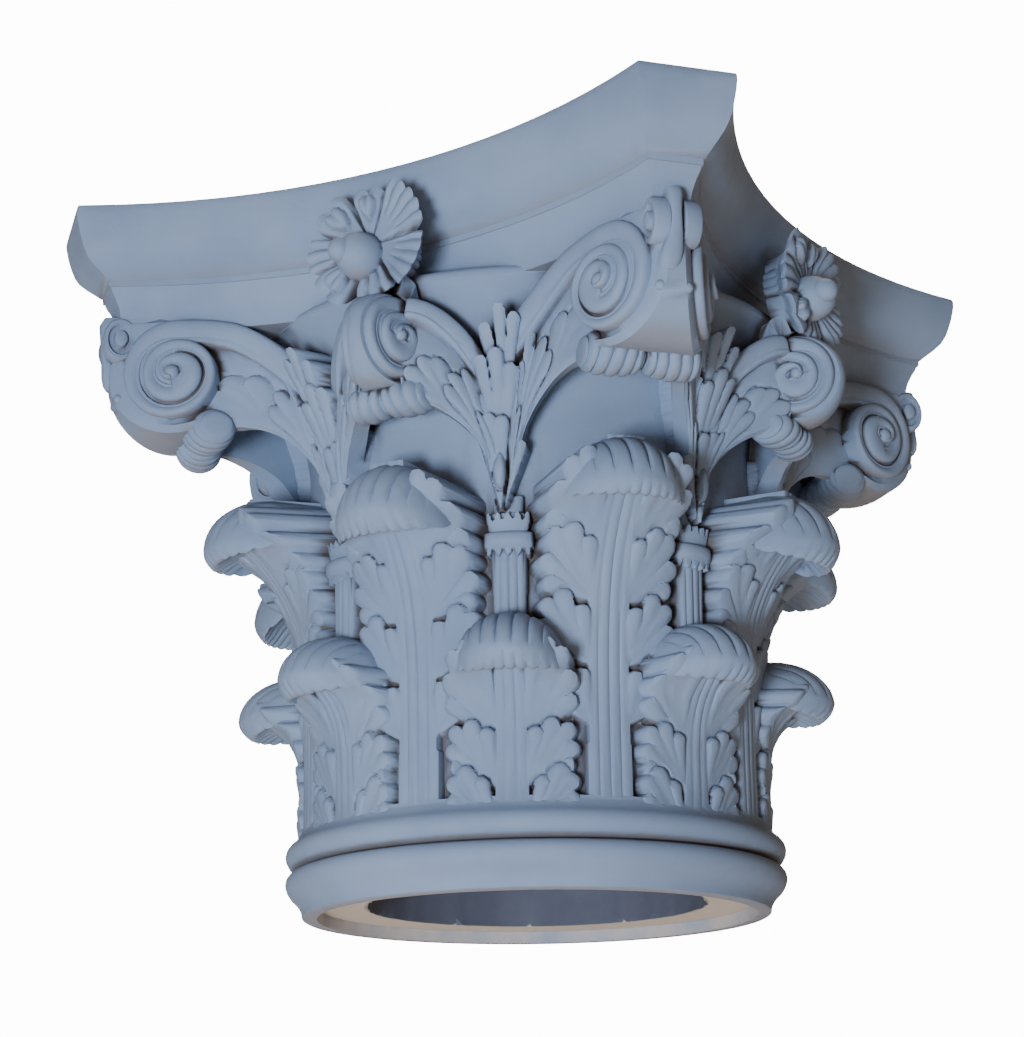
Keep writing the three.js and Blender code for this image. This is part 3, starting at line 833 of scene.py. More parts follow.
@dataclass(frozen=True)
class Scroll:
    """A volute: a wedge-shaped block with a coil on each side, and the stems that lead up to them."""

    name: str
    centre: Point
    eye_spread: float
    convergence: float
    radii: tuple[float, ...]
    turns: float
    eye_rise: float
    start_degrees: float
    band_centre: Point
    band_radius: float
    band_from: float
    band_to: float
    block_top: tuple[Point, ...]
    stem: tuple[tuple[float, float, float], ...]
    stem_width: tuple[float, float]
    rise: float
    neck_back: float = 17.0
    neck_in: float = 7.0
    band_lip: float = 4.0
    band_side: float = 4.5
    coil_gap: float = 1.4
    steps_per_turn: int = 40
    stem_steps: int = 22
    band_steps: int = 26
    section: tuple[Point, ...] = (
        (0.0, -1.8), (0.0, 0.25), (0.05, 0.62), (0.14, 0.86), (0.3, 0.98), (0.5, 0.94), (0.66, 0.8),
        (0.74, 0.7), (0.8, 0.78), (0.88, 0.74), (0.94, 0.5), (1.0, -0.15), (1.0, -1.8),
    )
    hook: float = 0.45

    @property
    def slope(self) -> float:
        """The angle between a side plane and the middle plane."""
        return math.atan(self.convergence)

    def half(self, reach: float) -> float:
        """Half the block's width at a distance from the axis. It is necked in behind the coils."""
        waist = self.centre[0] - self.neck_back
        width = self.eye_spread - (max(reach, waist) - self.centre[0]) * self.convergence
        return width - self.neck_in * clamp((waist - reach) / 3)

    def on_disc(self, turn: float, radius: float) -> Vector:
        """A point on the side plane, by turns from the start of the coil and distance from the eye."""
        angle = math.radians(self.start_degrees) - turn * math.tau
        run = radius * math.cos(angle)
        x = self.centre[0] + run * math.cos(self.slope)
        y = self.eye_spread - run * math.sin(self.slope)
        return Vector((x, y, self.centre[1] + radius * math.sin(angle)))

    @property
    def normal(self) -> Vector:
        """The direction that a side plane faces."""
        return Vector((math.sin(self.slope), math.cos(self.slope), 0))

    def coil_radius(self, turn: float) -> float:
        """The distance of the coil's outer edge from the eye. The radii stand a quarter of a turn apart."""
        return along([(radius,) for radius in self.radii], turn * 4 / (len(self.radii) - 1))[0]

    def edge(self, turn: float) -> Vector:
        """The outer edge of the coil, or of the stem where the turn is under 0."""
        if turn >= 0:
            lift = self.eye_rise * (turn / self.turns) ** 1.3
            return self.on_disc(turn, self.coil_radius(turn)) + lift * self.normal
        stations = [round_axis(*station) for station in self.stem]
        stations += [self.on_disc(turn, self.coil_radius(turn)) for turn in (0, 0.08)]
        share = (1 + turn) * (len(stations) - 2) / (len(stations) - 1)
        return Vector(along(stations, share))

    def ring(self, turn: float) -> list[Vector]:
        """One cross-section of the band at a turn of the coil."""
        here = self.edge(turn)
        ahead = (self.edge(turn + 0.01) - here).normalized()
        radial = Vector((here.x, here.y, 0)).normalized()
        normal = radial.lerp(self.normal, ease(1 + turn * 0.9)).normalized()
        inward = normal.cross(ahead).normalized()
        normal = ahead.cross(inward).normalized()
        if turn < 0:
            width = mix(*self.stem_width, ease(2 + 2 * turn))
        elif turn < self.turns - 1:
            inner = self.coil_radius(turn) - self.coil_radius(turn + 1)
            width = mix(self.stem_width[1], inner - self.coil_gap, ease(turn / 0.2))
        else:
            end = clamp((turn - self.turns + self.hook) / self.hook)
            width = self.coil_radius(turn) * mix(0.95, 0.55, end)
        rise = self.rise * mix(0.7, 1, clamp(1 + turn))
        return [
            here + inward * (across * width) + normal * (height * rise)
            for across, height in self.section
        ]

    def coil(self) -> list[bmesh.types.BMesh]:
        """The stem and the coil, in lengths of under a turn, and the eye."""
        cuts = [-1.0, 0.45]
        while cuts[-1] < self.turns:
            cuts.append(min(cuts[-1] + 0.7, self.turns))
        lengths = []
        for start, end in zip(cuts, cuts[1:]):
            steps = max(round((end - max(start, 0)) * self.steps_per_turn), 2)
            if start < 0:
                steps += self.stem_steps
            first = start if start < 0 else start - 0.02
            lengths.append(Mould.tube([self.ring(mix(first, end, i / steps)) for i in range(steps + 1)]))
        eye = bmesh.new()
        radius = self.coil_radius(self.turns) * 0.62
        bmesh.ops.create_uvsphere(eye, u_segments=20, v_segments=12, radius=radius)
        bmesh.ops.rotate(eye, verts=eye.verts[:], matrix=Matrix.Rotation(-self.slope, 3, "Z"))
        place = self.on_disc(self.turns, self.coil_radius(self.turns) - radius)
        lift = self.eye_rise + self.rise - radius
        bmesh.ops.translate(eye, verts=eye.verts[:], vec=place + lift * self.normal)
        lengths.append(eye)
        return lengths

    def seat_disc(self) -> bmesh.types.BMesh:
        """The low cone that the coil stands on."""
        loops = []
        for lift, share in ((-6.0, 0.97), (0.0, 0.97), (self.eye_rise, 0.2)):
            loops.append([
                self.on_disc(i / self.steps_per_turn, self.coil_radius(i / self.steps_per_turn) * share)
                + lift * self.normal
                for i in range(self.steps_per_turn)
            ])
        return Mould.tube(loops)

    def block(self) -> bmesh.types.BMesh:
        """The wedge between the coils, with its round front band."""
        centre, radius = self.band_centre, self.band_radius
        outline = arc(centre, radius, radius, self.band_from, self.band_to, self.band_steps)
        outline += self.block_top
        loops = []
        for hand, inset in ((-1, 0), (-1, self.band_side), (1, self.band_side), (1, 0)):
            loop = []
            for x, z in outline:
                out = Vector((x - centre[0], z - centre[1]))
                shrink = self.band_lip / radius if inset == 0 and out.length < radius + 1 else 0
                side = hand * (self.half(x) - inset)
                loop.append(Vector((x - out.x * shrink, side, z - out.y * shrink)))
            loops.append(loop)
        return Mould.tube(loops)

    def build(self) -> bpy.types.Object:
        """The block with both coils, on the X axis."""
        shells = [Mould.shell(self.name, self.block())]
        for piece in (*self.coil(), self.seat_disc()):
            other = Mould.mirrored(piece)
            shells.append(Mould.shell("coil", piece))
            shells.append(Mould.shell("coil", other))
        return Mould.joined(shells)


def corner_scroll() -> Scroll:
    """The volute under a corner of the abacus."""
    return Scroll(
        name="corner_scroll", centre=(253, 348.5), eye_spread=28, convergence=0.46,
        radii=(36, 34.5, 32.5, 29.5, 21.5, 20, 22.5, 20.5, 10.5, 8.6, 8.6, 8.2), turns=2.55, eye_rise=7.5,
        start_degrees=100, band_centre=(252, 348), band_radius=40.5, band_from=-165, band_to=12,
        block_top=((286, 384), (262, 388), (205, 388), (205, 352)),
        stem=(
            (27, 158, 300), (25.4, 171, 325), (21.5, 185, 343), (17.5, 194, 359), (14, 204, 371.5),
            (11, 217, 380.5), (8.6, 233, 384),
        ),
        stem_width=(15, 18), rise=5.0,
    )


def helix_scroll() -> Scroll:
    """The small volute under a fleuron."""
    return Scroll(
        name="helix_scroll", centre=(203, 337), eye_spread=12, convergence=0.24,
        radii=(27.5, 26.5, 25.5, 23.5, 17, 16, 16, 14.5, 8, 6.6, 6.4), turns=2.3, eye_rise=7.5,
        start_degrees=105, band_centre=(203, 337), band_radius=30, band_from=-130, band_to=80,
        block_top=((205, 367), (168, 367), (168, 325)), band_lip=1.5, band_side=2.0,
        stem=(
            (22.8, 158, 300), (19.6, 172, 323), (16, 181, 341.5), (12.2, 188, 354), (8.8, 194, 361),
            (5.8, 198, 364),
        ),
        stem_width=(12, 14.5), rise=4.5,
    )


@dataclass(frozen=True)
class CurledTips:
    """The pair of ribbed leaf tips that curl under a volute."""

    name: str
    centre: tuple[float, float, float]
    reach: float
    fall: float
    half_width: float
    ribs: int = 7
    rib_depth: float = 2.4
    splay: float = 5.0
    shift: float = 0.07
    columns: int = 84
    rows: int = 32
    limit: int = 1500

    def tip(self) -> bmesh.types.BMesh:
        """One tip, beside the X axis."""

        def place(across: float, around: float) -> Vector:
            lateral = mix(-math.pi / 2, math.pi / 2, across)
            turn = around * math.tau
            fat = math.cos(lateral) ** 0.38 if abs(across - 0.5) < 0.4999 else 0.0
            curved = across + self.shift * math.sin(math.pi * across) * (math.sin(turn) + 1) / 2
            groove = abs(2 * (curved * self.ribs % 1.0) - 1) ** 3
            fat *= 1 - self.rib_depth / self.fall * groove * (1 if 0.02 < across < 0.98 else 0)
            y = self.centre[1] + self.half_width * math.sin(lateral)
            x = self.centre[0] + self.reach * fat * math.cos(turn) - self.splay * (across ** 2)
            return Vector((x, y, self.centre[2] + self.fall * fat * math.sin(turn)))

        bm = Mould.sheet(self.columns, self.rows, place)
        bmesh.ops.remove_doubles(bm, verts=bm.verts[:], dist=1e-3)
        bmesh.ops.recalc_face_normals(bm, faces=bm.faces[:])
        return bm

    def build(self) -> list[bpy.types.Object]:
        """Both tips."""
        tip = self.tip()
        hands = (Mould.mirrored(tip), tip)
        return [Mould.thinned(Mould.shell(self.name, hand), self.limit) for hand in hands]


@dataclass(frozen=True)
class Frond:
    """The half leaf that grows from a calyx out under a stem, with lobes along it."""

    name: str
    bell: Bell
    stations: tuple[tuple[float, float, float, float], ...]
    fans: tuple[Fan, ...]
    length: float
    limit: int
    depth: float = 14.0
    bow: float = 4.0
    lobe_start: float = 0.6
    lobe_lean: float = 3.6
    lobe_swell: float = 2.6
    slot_depth: float = 2.4
    slot_width: float = 1.8
    step: float = 0.8
    rows: int = 80

    def build(self) -> list[bpy.types.Object]:
        """Both hands of the half leaf, beside the X axis."""
        columns = round(self.length / self.step)

        def place(out: float, up: float) -> Vector:
            degrees, radius, low, high = along(self.stations, out)
            z = mix(low, high, up)
            carved = self.carving(out * self.length, z - low)
            edge = ease(min(up, 1 - up) / 0.06) * ease((1 - out) / 0.04 + 0.2)
            away = radius + (self.bow * math.sin(math.pi * clamp(up)) + carved) * edge - 2.5 * (1 - edge)
            return round_axis(degrees, away, z)

        def sink(point: Vector) -> Vector:
            away = math.hypot(point.x, point.y)
            share = (away - self.depth) / away
            return Vector((point.x * share, point.y * share, point.z))

        bm = Mould.backed(Mould.sheet(columns, self.rows, place), sink)
        hands = (Mould.mirrored(bm), bm)
        return [Mould.thinned(Mould.shell(self.name, hand), self.limit) for hand in hands]

    def carving(self, run: float, rise: float) -> float:
        """The height of the lobes at a place on the half leaf."""
        level = 0.0
        for tier in self.fans:
            depth, swell, reach = tier.sample(run, rise)
            raised = self.lobe_start + self.lobe_lean * reach ** 1.4 + self.lobe_swell * (swell - 1)
            if depth > 0:
                level = mix(level, raised, ease(0.3 + 0.7 * depth / 1.4))
            elif depth > -self.slot_width:
                level -= self.slot_depth * (1 + depth / self.slot_width) * reach
        return level


def corner_frond(bell: Bell) -> Frond:
    """The half leaf under a corner volute."""
    return Frond(
        name="corner_frond", bell=bell, length=92, limit=2300,
        stations=(
            (22, 161, 244, 322), (18.5, 174, 280, 348), (14, 190, 302, 364), (10, 211, 311, 373),
            (6.5, 232, 311, 375),
        ),
        fans=(
            fan(44, 1, 8.0, (86, 8), (88, 21), (77, 33), (60, 37)),
            fan(12, 5, 7.6, (50, 18), (45, 33), (32, 44), (18, 50)),
            fan(1, 2, 7.0, (17, 24), (13, 42), (5, 58)),
        ),
    )


def helix_frond(bell: Bell) -> Frond:
    """The half leaf under a small volute."""
    return Frond(
        name="helix_frond", bell=bell, length=62, limit=1700,
        stations=(
            (21.5, 160, 246, 312), (16.5, 171, 276, 331), (12, 180, 290, 344), (8, 190, 297, 352),
            (4, 199, 300, 352),
        ),
        fans=(
            fan(28, 1, 6.4, (57, 7), (57, 18), (48, 29), (38, 33)),
            fan(8, 4, 6.2, (34, 16), (29, 29), (20, 39), (11, 44)),
            fan(1, 2, 5.6, (12, 22), (8, 38), (3, 50)),
        ),
    )


@dataclass(frozen=True)
class Petal:
    """One petal of a fleuron."""

    degrees: float
    spread: float
    reach: float
    rise: float
    flutes: int
    drop: bool = False


@dataclass(frozen=True)
class Fleuron:
    """The flower on each face of the abacus: petals round a bud like a snail's shell."""

    z: float = 400.0
    seat_radius: float = 190.0
    seat_share: float = 0.9
    petal_radius: float = 211.0
    bud_out: float = 233.0
    bud_half: float = 15.5
    bud_side: float = -6.0
    bud_z: float = -8.0
    top_share: float = 0.82
    undercut: float = 0.34
    edge_thick: float = 1.6
    fall: float = 12.0
    round_steps: int = 168
    rings: int = 34
    flute_depth: float = 3.2
    limit: int = 4400
    petals: tuple[Petal, ...] = (
        Petal(38, 64, 44, 13, 5),
        Petal(-28, 62, 43, 12, 5),
        Petal(92, 46, 38, 7, 2, True),
        Petal(-86, 52, 37, 5, 3),
        Petal(138, 46, 45, 8, 2, True),
        Petal(180, 38, 47, 6, 3),
        Petal(-138, 48, 45, 8, 2, True),
    )

    def petal_at(self, turn: float) -> tuple[Petal, float]:
        """The petal in a direction in degrees, and how far off its middle that is, from -1 to 1."""
        offsets = [((turn - petal.degrees + 180) % 360 - 180) / (petal.spread / 2) for petal in self.petals]
        nearest = min(range(len(offsets)), key=lambda i: abs(offsets[i]))
        return self.petals[nearest], offsets[nearest]

    def outline(self, petal: Petal, offset: float) -> float:
        """The length of a petal, off its middle."""
        scallop = 0.1 * round_swell(2 * ((offset + 1) / 2 * petal.flutes % 1.0) - 1)
        notch = 0.22 * ease((abs(offset) - 0.86) / 0.2)
        return petal.reach * (0.76 + 0.14 * round_swell(offset / 1.12) + scallop - notch)

    def height(self, petal: Petal, offset: float, share: float) -> float:
        """The height of a petal over the flower's plane.

        Args:
            petal: the petal.
            offset: how far off its middle, from -1 to 1.
            share: the share of its length.

        Returns:
            The height.
        """
        groove = abs(2 * ((offset + 1) / 2 * petal.flutes % 1.0) - 1) ** 2.4
        cup = petal.rise * share ** 1.5 * (0.45 + 0.55 * round_swell(offset / 1.12))
        lip = 2.5 * ease((share - 0.84) / 0.16)
        height = cup - lip - self.flute_depth * groove * ease((share - 0.4) / 0.3)
        height -= 3.0 * ease((abs(offset) - 0.75) / 0.3) * ease(share / 0.4)
        if petal.drop:
            blob = math.hypot(offset * 1.9, (share - 0.68) / 0.2)
            height += 5.0 * round_swell(min(blob, 1)) - 3.0 * clamp(1.6 - blob) * (blob > 1)
        return height

    def build(self) -> bpy.types.Object:
        """One flower, on the X axis."""

        def place(around: float, out: float) -> Vector:
            turn = around * math.tau
            petal, offset = self.petal_at(math.degrees(turn))
            edge = self.outline(petal, offset)
            share = min(out / self.top_share, 1)
            under = clamp((out - self.top_share) / (1 - self.top_share))
            away = edge * share * (1 - self.undercut * ease(under))
            height = self.height(petal, offset, share)
            height = height - self.edge_thick * min(under * 4, 1) - self.fall * under
            radius = self.petal_radius + height
            return Vector((radius, away * math.cos(turn), self.z + away * math.sin(turn)))

        def sink(point: Vector) -> Vector:
            z = mix(self.z, point.z, self.seat_share)
            return Vector((self.seat_radius, point.y * self.seat_share, z))

        bm = Mould.sheet(self.round_steps, self.rings, place)
        bmesh.ops.remove_doubles(bm, verts=bm.verts[:], dist=1e-3)
        flower = Mould.shell("fleuron", Mould.backed(bm, sink))
        return Mould.thinned(Mould.joined([flower, *self.bud()]), self.limit)

    def bud(self) -> list[bpy.types.Object]:
        """The bud: a boss with a smaller one coiled on its lower side."""
        shells = []
        depth = self.bud_out - self.petal_radius
        for side, drop, half, out in ((0, 0, 1.0, 0.0), (-0.42, 0.05, 0.52, 0.62)):
            bm = bmesh.new()
            bmesh.ops.create_uvsphere(bm, u_segments=36, v_segments=20, radius=1)
            radius = self.bud_half * half
            swell = depth * (0.85 if half == 1 else 0.42)
            bmesh.ops.scale(bm, verts=bm.verts[:], vec=(swell, radius, radius))
            middle = Vector((
                self.petal_radius + depth * (0.1 + out),
                self.bud_side + side * self.bud_half,
                self.z + self.bud_z + drop * self.bud_half,
            ))
            bmesh.ops.translate(bm, verts=bm.verts[:], vec=middle)
            shells.append(Mould.shell("bud", bm))
        return shells


@dataclass(frozen=True)
class Capital:
    """The whole casting."""

    bell: Bell = field(default_factory=Bell)
    abacus: Abacus = field(default_factory=Abacus)
    fleuron: Fleuron = field(default_factory=Fleuron)
    corner_tips: CurledTips = CurledTips(
        name="corner_tips", centre=(229, 19, 311), reach=16, fall=14, half_width=19,
    )
    helix_tips: CurledTips = CurledTips(
        name="helix_tips", centre=(190, 13, 302), reach=15, fall=12, half_width=14.5, ribs=5,
    )
    curl_centre: Point = (287.0, 371.5)
    curl_radius: float = 11.5
    curl_side: Point = (4.2, 16.5)
    curl_stretch: float = 1.3
    curl_lift: float = 1.5
    tongue_half: float = 6.6
    tongue: tuple[tuple[float, float, float], ...] = ((283, -4.5, 341), (288, -1, 392))
    tongue_swell: tuple[tuple[float, float, float], ...] = (
        (0, 0.4, 8), (0.04, 0.78, 10.5), (0.1, 0.96, 12), (0.2, 1, 12.8), (0.42, 0.72, 12.6),
        (0.7, 0.6, 12.4), (0.9, 0.66, 12.2), (1, 0.7, 9),
    )
    tongue_bend: float = 2.2
    bead: tuple[float, float, float] = (286.5, 8.5, 333.0)
    bead_radius: float = 3.4
    limit: int = 196000
    sharp_degrees: float = 38.0

    def curls(self) -> list[bpy.types.Object]:
        """The small rolled leaves between a corner volute and the abacus."""
        near, far = self.curl_side
        profile = (
            (near, 0.93), (near + 1, 1.0), (far - 3, 1.0), (far - 1.5, 0.93), (far - 1.5, 0.75),
            (far - 4, 0.66), (far - 4, 0.42), (far, 0.36), (far + 0.8, 0.2),
        )
        shells = []
        for hand in (-1, 1):
            loops = []
            for side, share in profile:
                reach = self.curl_radius * share
                ring = arc(self.curl_centre, reach, reach * self.curl_stretch, 0, 348, 29)
                loops.append([Vector((x, hand * side, z + self.curl_lift)) for x, z in ring])
            shells.append(Mould.shell("curl", Mould.tube(loops)))
        return shells

    def tongue_shell(self) -> bpy.types.Object:
        """The tongue that hangs between the curls."""
        low, high = (Vector(end) for end in self.tongue)
        loops = []
        for share, half, out in self.tongue_swell:
            middle = low.lerp(high, share)
            middle.y = mix(low.y, high.y, ease(share * self.tongue_bend))
            width = self.tongue_half * half
            section = (
                (-12, 1), (out - 3, 1), (out - 1, 0.8), (out, 0.4),
                (out, -0.4), (out - 1, -0.8), (out - 3, -1), (-12, -1),
            )
            loops.append([middle + Vector((x, width * side, 0)) for x, side in section])
        return Mould.shell("tongue", Mould.tube(loops))

    def beads(self) -> list[bpy.types.Object]:
        """The small beads beside the front of a corner volute."""
        shells = []
        for hand in (-1, 1):
            bm = bmesh.new()
            bmesh.ops.create_uvsphere(bm, u_segments=14, v_segments=9, radius=self.bead_radius)
            out, side, z = self.bead
            bmesh.ops.translate(bm, verts=bm.verts[:], vec=(out, hand * side, z))
            shells.append(Mould.shell("bead", bm))
        return shells

    def corner(self) -> bpy.types.Object:
        """What stands on each corner."""
        front = [*self.curls(), self.tongue_shell(), *self.beads()]
        shells = [corner_scroll().build(), *front, *self.corner_tips.build()]
        return Mould.joined([*shells, *corner_frond(self.bell).build()])

    def face(self) -> bpy.types.Object:
        """What stands on each face, below the fleuron."""
        shells = [helix_scroll().build(), *self.helix_tips.build(), *helix_frond(self.bell).build()]
        return Mould.joined(shells)

    def build(self) -> bpy.types.Object:
        """The casting in one skin, in metres."""
        bell = self.bell
        parts = [
            bell.build(),
            self.abacus.build(),
            Mould.around(lower_leaf(bell).build(), EIGHTHS, 22.5),
            Mould.around(upper_leaf(bell).build(), QUARTERS, 45),
            Mould.around(face_leaf(bell).build(), QUARTERS, 0),
            Mould.around(Cauliculus(bell).build(), QUARTERS, 22.5),
            Mould.around(self.corner(), QUARTERS, 45),
            Mould.around(self.face(), QUARTERS, 0),
            Mould.around(self.fleuron.build(), QUARTERS, 0),
        ]
        for part in parts:
            log.info("%s: %d faces", part.name, len(part.data.polygons))
        whole = Mould.cut(Mould.joined(parts), bell.hollow())
        Mould.thinned(whole, self.limit)
        whole.name = whole.data.name = "capital_casting"
        whole.data.transform(Matrix.Scale(MM, 4))
        whole.data.shade_smooth()
        whole.data.set_sharp_from_angle(angle=math.radians(self.sharp_degrees))
        return whole


class Nook(Enum):
    """The mesh attributes that tell the paint where it lies."""

    SHELTER = "shelter"


@dataclass(frozen=True)
class Shelter:
    """How closed in each point of a casting is, kept as an attribute for the painted shade in the hollows."""

    rays: int = 28
    reach: float = 0.045
    lift: float = 0.0006

    def directions(self) -> list[Vector]:
        """Directions spread evenly over the half sphere round +Z, denser towards the pole."""
        golden = math.pi * (3 - math.sqrt(5))
        spread = []
        for i in range(self.rays):
            away = math.sqrt((i + 0.5) / self.rays)
            turn = i * golden
            rise = math.sqrt(1 - away * away)
            spread.append(Vector((away * math.cos(turn), away * math.sin(turn), rise)))
        return spread

    def mark(self, casting: bpy.types.Object) -> None:
        """Writes the attribute: 0 in the open, 1 deep in a hollow."""
        mesh = casting.data
        bm = bmesh.new()
        bm.from_mesh(mesh)
        tree = BVHTree.FromBMesh(bm)
        bm.free()
        directions = self.directions()
        values = []
        for vertex in mesh.vertices:
            turn = vertex.normal.to_track_quat("Z", "X").to_matrix()
            start = vertex.co + vertex.normal * self.lift
            closed = 0.0
            for direction in directions:
                distance = tree.ray_cast(start, turn @ direction, self.reach)[3]
                if distance is not None:
                    closed += 1 - distance / self.reach
            values.append(closed / self.rays)
        shelter = mesh.attributes.new(Nook.SHELTER.value, "FLOAT", "POINT")
        shelter.data.foreach_set("value", values)


Socket = bpy.types.NodeSocket


class Recipe:
    """A material's nodes, with short ways to add them."""

    def __init__(self, name: str) -> None:
        """Starts an empty material with a principled shader."""
        self.material = bpy.data.materials.new(name)
        self.material.use_nodes = True
        self.nodes = self.material.node_tree.nodes
        self.links = self.material.node_tree.links
        self.shader = self.nodes["Principled BSDF"]
        self.place = self.nodes.new("ShaderNodeTexCoord").outputs["Object"]

    def noise(self, scale: float, detail: float, roughness: float = 0.55) -> Socket:
        """A noise over the object's own coordinates.

        Args:
            scale: the noise's scale in turns to the metre.
            detail: how many finer layers it has.
            roughness: how strong the finer layers are.

        Returns:
            Its grey output.
        """
        node = self.nodes.new("ShaderNodeTexNoise")
        node.inputs["Scale"].default_value = scale
        node.inputs["Detail"].default_value = detail
        node.inputs["Roughness"].default_value = roughness
        self.links.new(self.place, node.inputs["Vector"])
        return node.outputs["Fac"]

    def attribute(self, name: str) -> Socket:
        """A number kept on the mesh."""
        node = self.nodes.new("ShaderNodeAttribute")
        node.attribute_name = name
        return node.outputs["Fac"]

    def normal_part(self, axis: str) -> Socket:
        """One part of the surface's own direction."""
        node = self.nodes.new("ShaderNodeSeparateXYZ")
        geometry = self.nodes.new("ShaderNodeNewGeometry")
        self.links.new(geometry.outputs["Normal"], node.inputs["Vector"])
        return node.outputs[axis]

    def place_part(self, axis: str) -> Socket:
        """One of the object's own coordinates."""
        node = self.nodes.new("ShaderNodeSeparateXYZ")
        self.links.new(self.place, node.inputs["Vector"])
        return node.outputs[axis]

    def sum(self, operation: str, *values: Socket | float) -> Socket:
        """The result of a maths node."""
        node = self.nodes.new("ShaderNodeMath")
        node.operation = operation
        self.feed(node.inputs, values)
        return node.outputs["Value"]

    def feed(self, inputs: Iterable[Socket], values: Iterable[Socket | float]) -> None:
        """Links or sets a node's first inputs."""
        for slot, value in zip(inputs, values):
            if isinstance(value, Socket):
                self.links.new(value, slot)
            else:
                slot.default_value = value

    def ramp(self, source: Socket, low: float, high: float, start: float = 0.0, end: float = 1.0) -> Socket:
        """A value eased from start to end while the source goes from low to high."""
        node = self.nodes.new("ShaderNodeMapRange")
        node.interpolation_type = "SMOOTHSTEP"
        self.feed(node.inputs, (source, low, high, start, end))
        return node.outputs["Result"]

    def blend(self, share: Socket | float, low: Socket | tuple, high: Socket | tuple) -> Socket:
        """A colour mixed from two."""
        node = self.nodes.new("ShaderNodeMix")
        node.data_type = "RGBA"
        self.feed((node.inputs[0], node.inputs[6], node.inputs[7]), (share, low, high))
        return node.outputs[2]

    def bump(self, height: Socket, strength: float, distance: float, below: Socket | None = None) -> Socket:
        """A bumped surface direction.

        Args:
            height: the height.
            strength: how strongly it counts, from 0 to 1.
            distance: the height of 1, in metres.
            below: a surface direction that is bumped already, or None.

        Returns:
            The new direction.
        """
        node = self.nodes.new("ShaderNodeBump")
        node.inputs["Strength"].default_value = strength
        node.inputs["Distance"].default_value = distance
        self.links.new(height, node.inputs["Height"])
        if below:
            self.links.new(below, node.inputs["Normal"])
        return node.outputs["Normal"]


def rgba(red: float, green: float, blue: float) -> tuple[float, float, float, float]:
    """A linear colour with full cover, from sRGB values of 0 to 255."""
    linear = []
    for value in (red, green, blue):
        share = value / 255
        linear.append(share / 12.92 if share <= 0.04045 else ((share + 0.055) / 1.055) ** 2.4)
    return (*linear, 1.0)


@dataclass(frozen=True)
class PaintedPlaster:
    """Matt blue-grey paint on plaster, brown painted shade in the hollows, painted shade in the bore, a tan
    tint on downward faces that is partly painted bounce light, and bare plaster inside the ring.
    """

    name: str = "painted_plaster"
    slot: str = "plaster"
    pale: tuple = rgba(138, 153, 175)
    deep: tuple = rgba(128, 143, 166)
    # painted shade: the brown that the closed-in hollows are darkened towards
    hollow_shade: tuple = rgba(78, 64, 54)
    # partly painted warm bounce light on faces that look down, partly the cast's own tan showing there
    tan_and_bounce: tuple = rgba(146, 138, 136)
    bare: tuple = rgba(198, 184, 168)
    # painted shade: the dark colour inside the bore
    bore_shade: tuple = rgba(84, 86, 98)
    roughness: Point = (0.62, 0.8)
    gloss: float = 0.35
    clouds: Point = (9, 3)
    mottle: Point = (55, 4)
    coat: tuple[float, float, float] = (130, 5, 0.6)
    grain: tuple[float, float, float] = (900, 3, 0.6)
    sheltered: Point = (0.26, 0.66)
    shade_cover: float = 0.9
    # the downward range of the surface direction where the painted bounce light tint comes in
    downward: Point = (-0.72, -0.98)
    tan_and_bounce_cover: float = 0.55
    rebate_edge: Point = (0.1455, 0.1425)
    rebate_top: Point = (0.012, 0.010)
    bore_edge: Point = (0.1135, 0.1128)
    bore_foot: Point = (0.0075, 0.0085)

    def build(self) -> bpy.types.Material:
        """The material."""
        recipe = Recipe(self.name)
        broad = recipe.noise(*self.clouds)
        fine = recipe.noise(*self.mottle)
        paint = recipe.blend(recipe.ramp(broad, 0.35, 0.65), self.pale, self.deep)
        # Painted shade: where the shelter attribute says a point is closed in, the paint darkens towards
        # brown.
        shelter = recipe.attribute(Nook.SHELTER.value)
        patchy = recipe.sum("MULTIPLY_ADD", fine, 0.16, -0.08)
        closed = recipe.ramp(recipe.sum("ADD", shelter, patchy), *self.sheltered)
        paint = recipe.blend(recipe.sum("MULTIPLY", closed, self.shade_cover), paint, self.hollow_shade)
        # Painted bounce light: faces that look down take a warm tan tint, over the cast's own tan.
        under = recipe.ramp(recipe.normal_part("Z"), *self.downward)
        paint = recipe.blend(recipe.sum("MULTIPLY", under, self.tan_and_bounce_cover), paint, self.tan_and_bounce)
        paint = self.inside(recipe, paint)
        recipe.links.new(paint, recipe.shader.inputs["Base Color"])
        rough = recipe.ramp(fine, 0.3, 0.7, *self.roughness)
        recipe.links.new(rough, recipe.shader.inputs["Roughness"])
        recipe.shader.inputs["Specular IOR Level"].default_value = self.gloss
        soft = recipe.bump(recipe.noise(*self.coat), 0.5, 0.0006)
        grain = recipe.bump(recipe.noise(*self.grain), 0.35, 0.0002, soft)
        recipe.links.new(grain, recipe.shader.inputs["Normal"])
        return recipe.material

    def inside(self, recipe: Recipe, paint: Socket) -> Socket:
        """The unpainted rebate, and painted shade that darkens the bore, laid over the paint.

        Args:
            recipe: the material's nodes.
            paint: the paint's colour.

        Returns:
            The colour with both.
        """
        x, y, z = (recipe.place_part(axis) for axis in "XYZ")
        squares = recipe.sum("ADD", recipe.sum("MULTIPLY", x, x), recipe.sum("MULTIPLY", y, y))
        away = recipe.sum("SQRT", squares)
        patch = recipe.sum("MULTIPLY_ADD", recipe.noise(28, 4), 0.004, -0.002)
        edge = recipe.sum("ADD", away, patch)
        rebate = recipe.ramp(edge, *self.rebate_edge)
        low = recipe.ramp(z, *self.rebate_top)
        paint = recipe.blend(recipe.sum("MULTIPLY", rebate, low), paint, self.bare)
        # Painted shade: the inside of the bore is darkened.
        within = recipe.ramp(away, *self.bore_edge)
        bore = recipe.sum("MULTIPLY", within, recipe.ramp(z, *self.bore_foot))
        return recipe.blend(bore, paint, self.bore_shade)


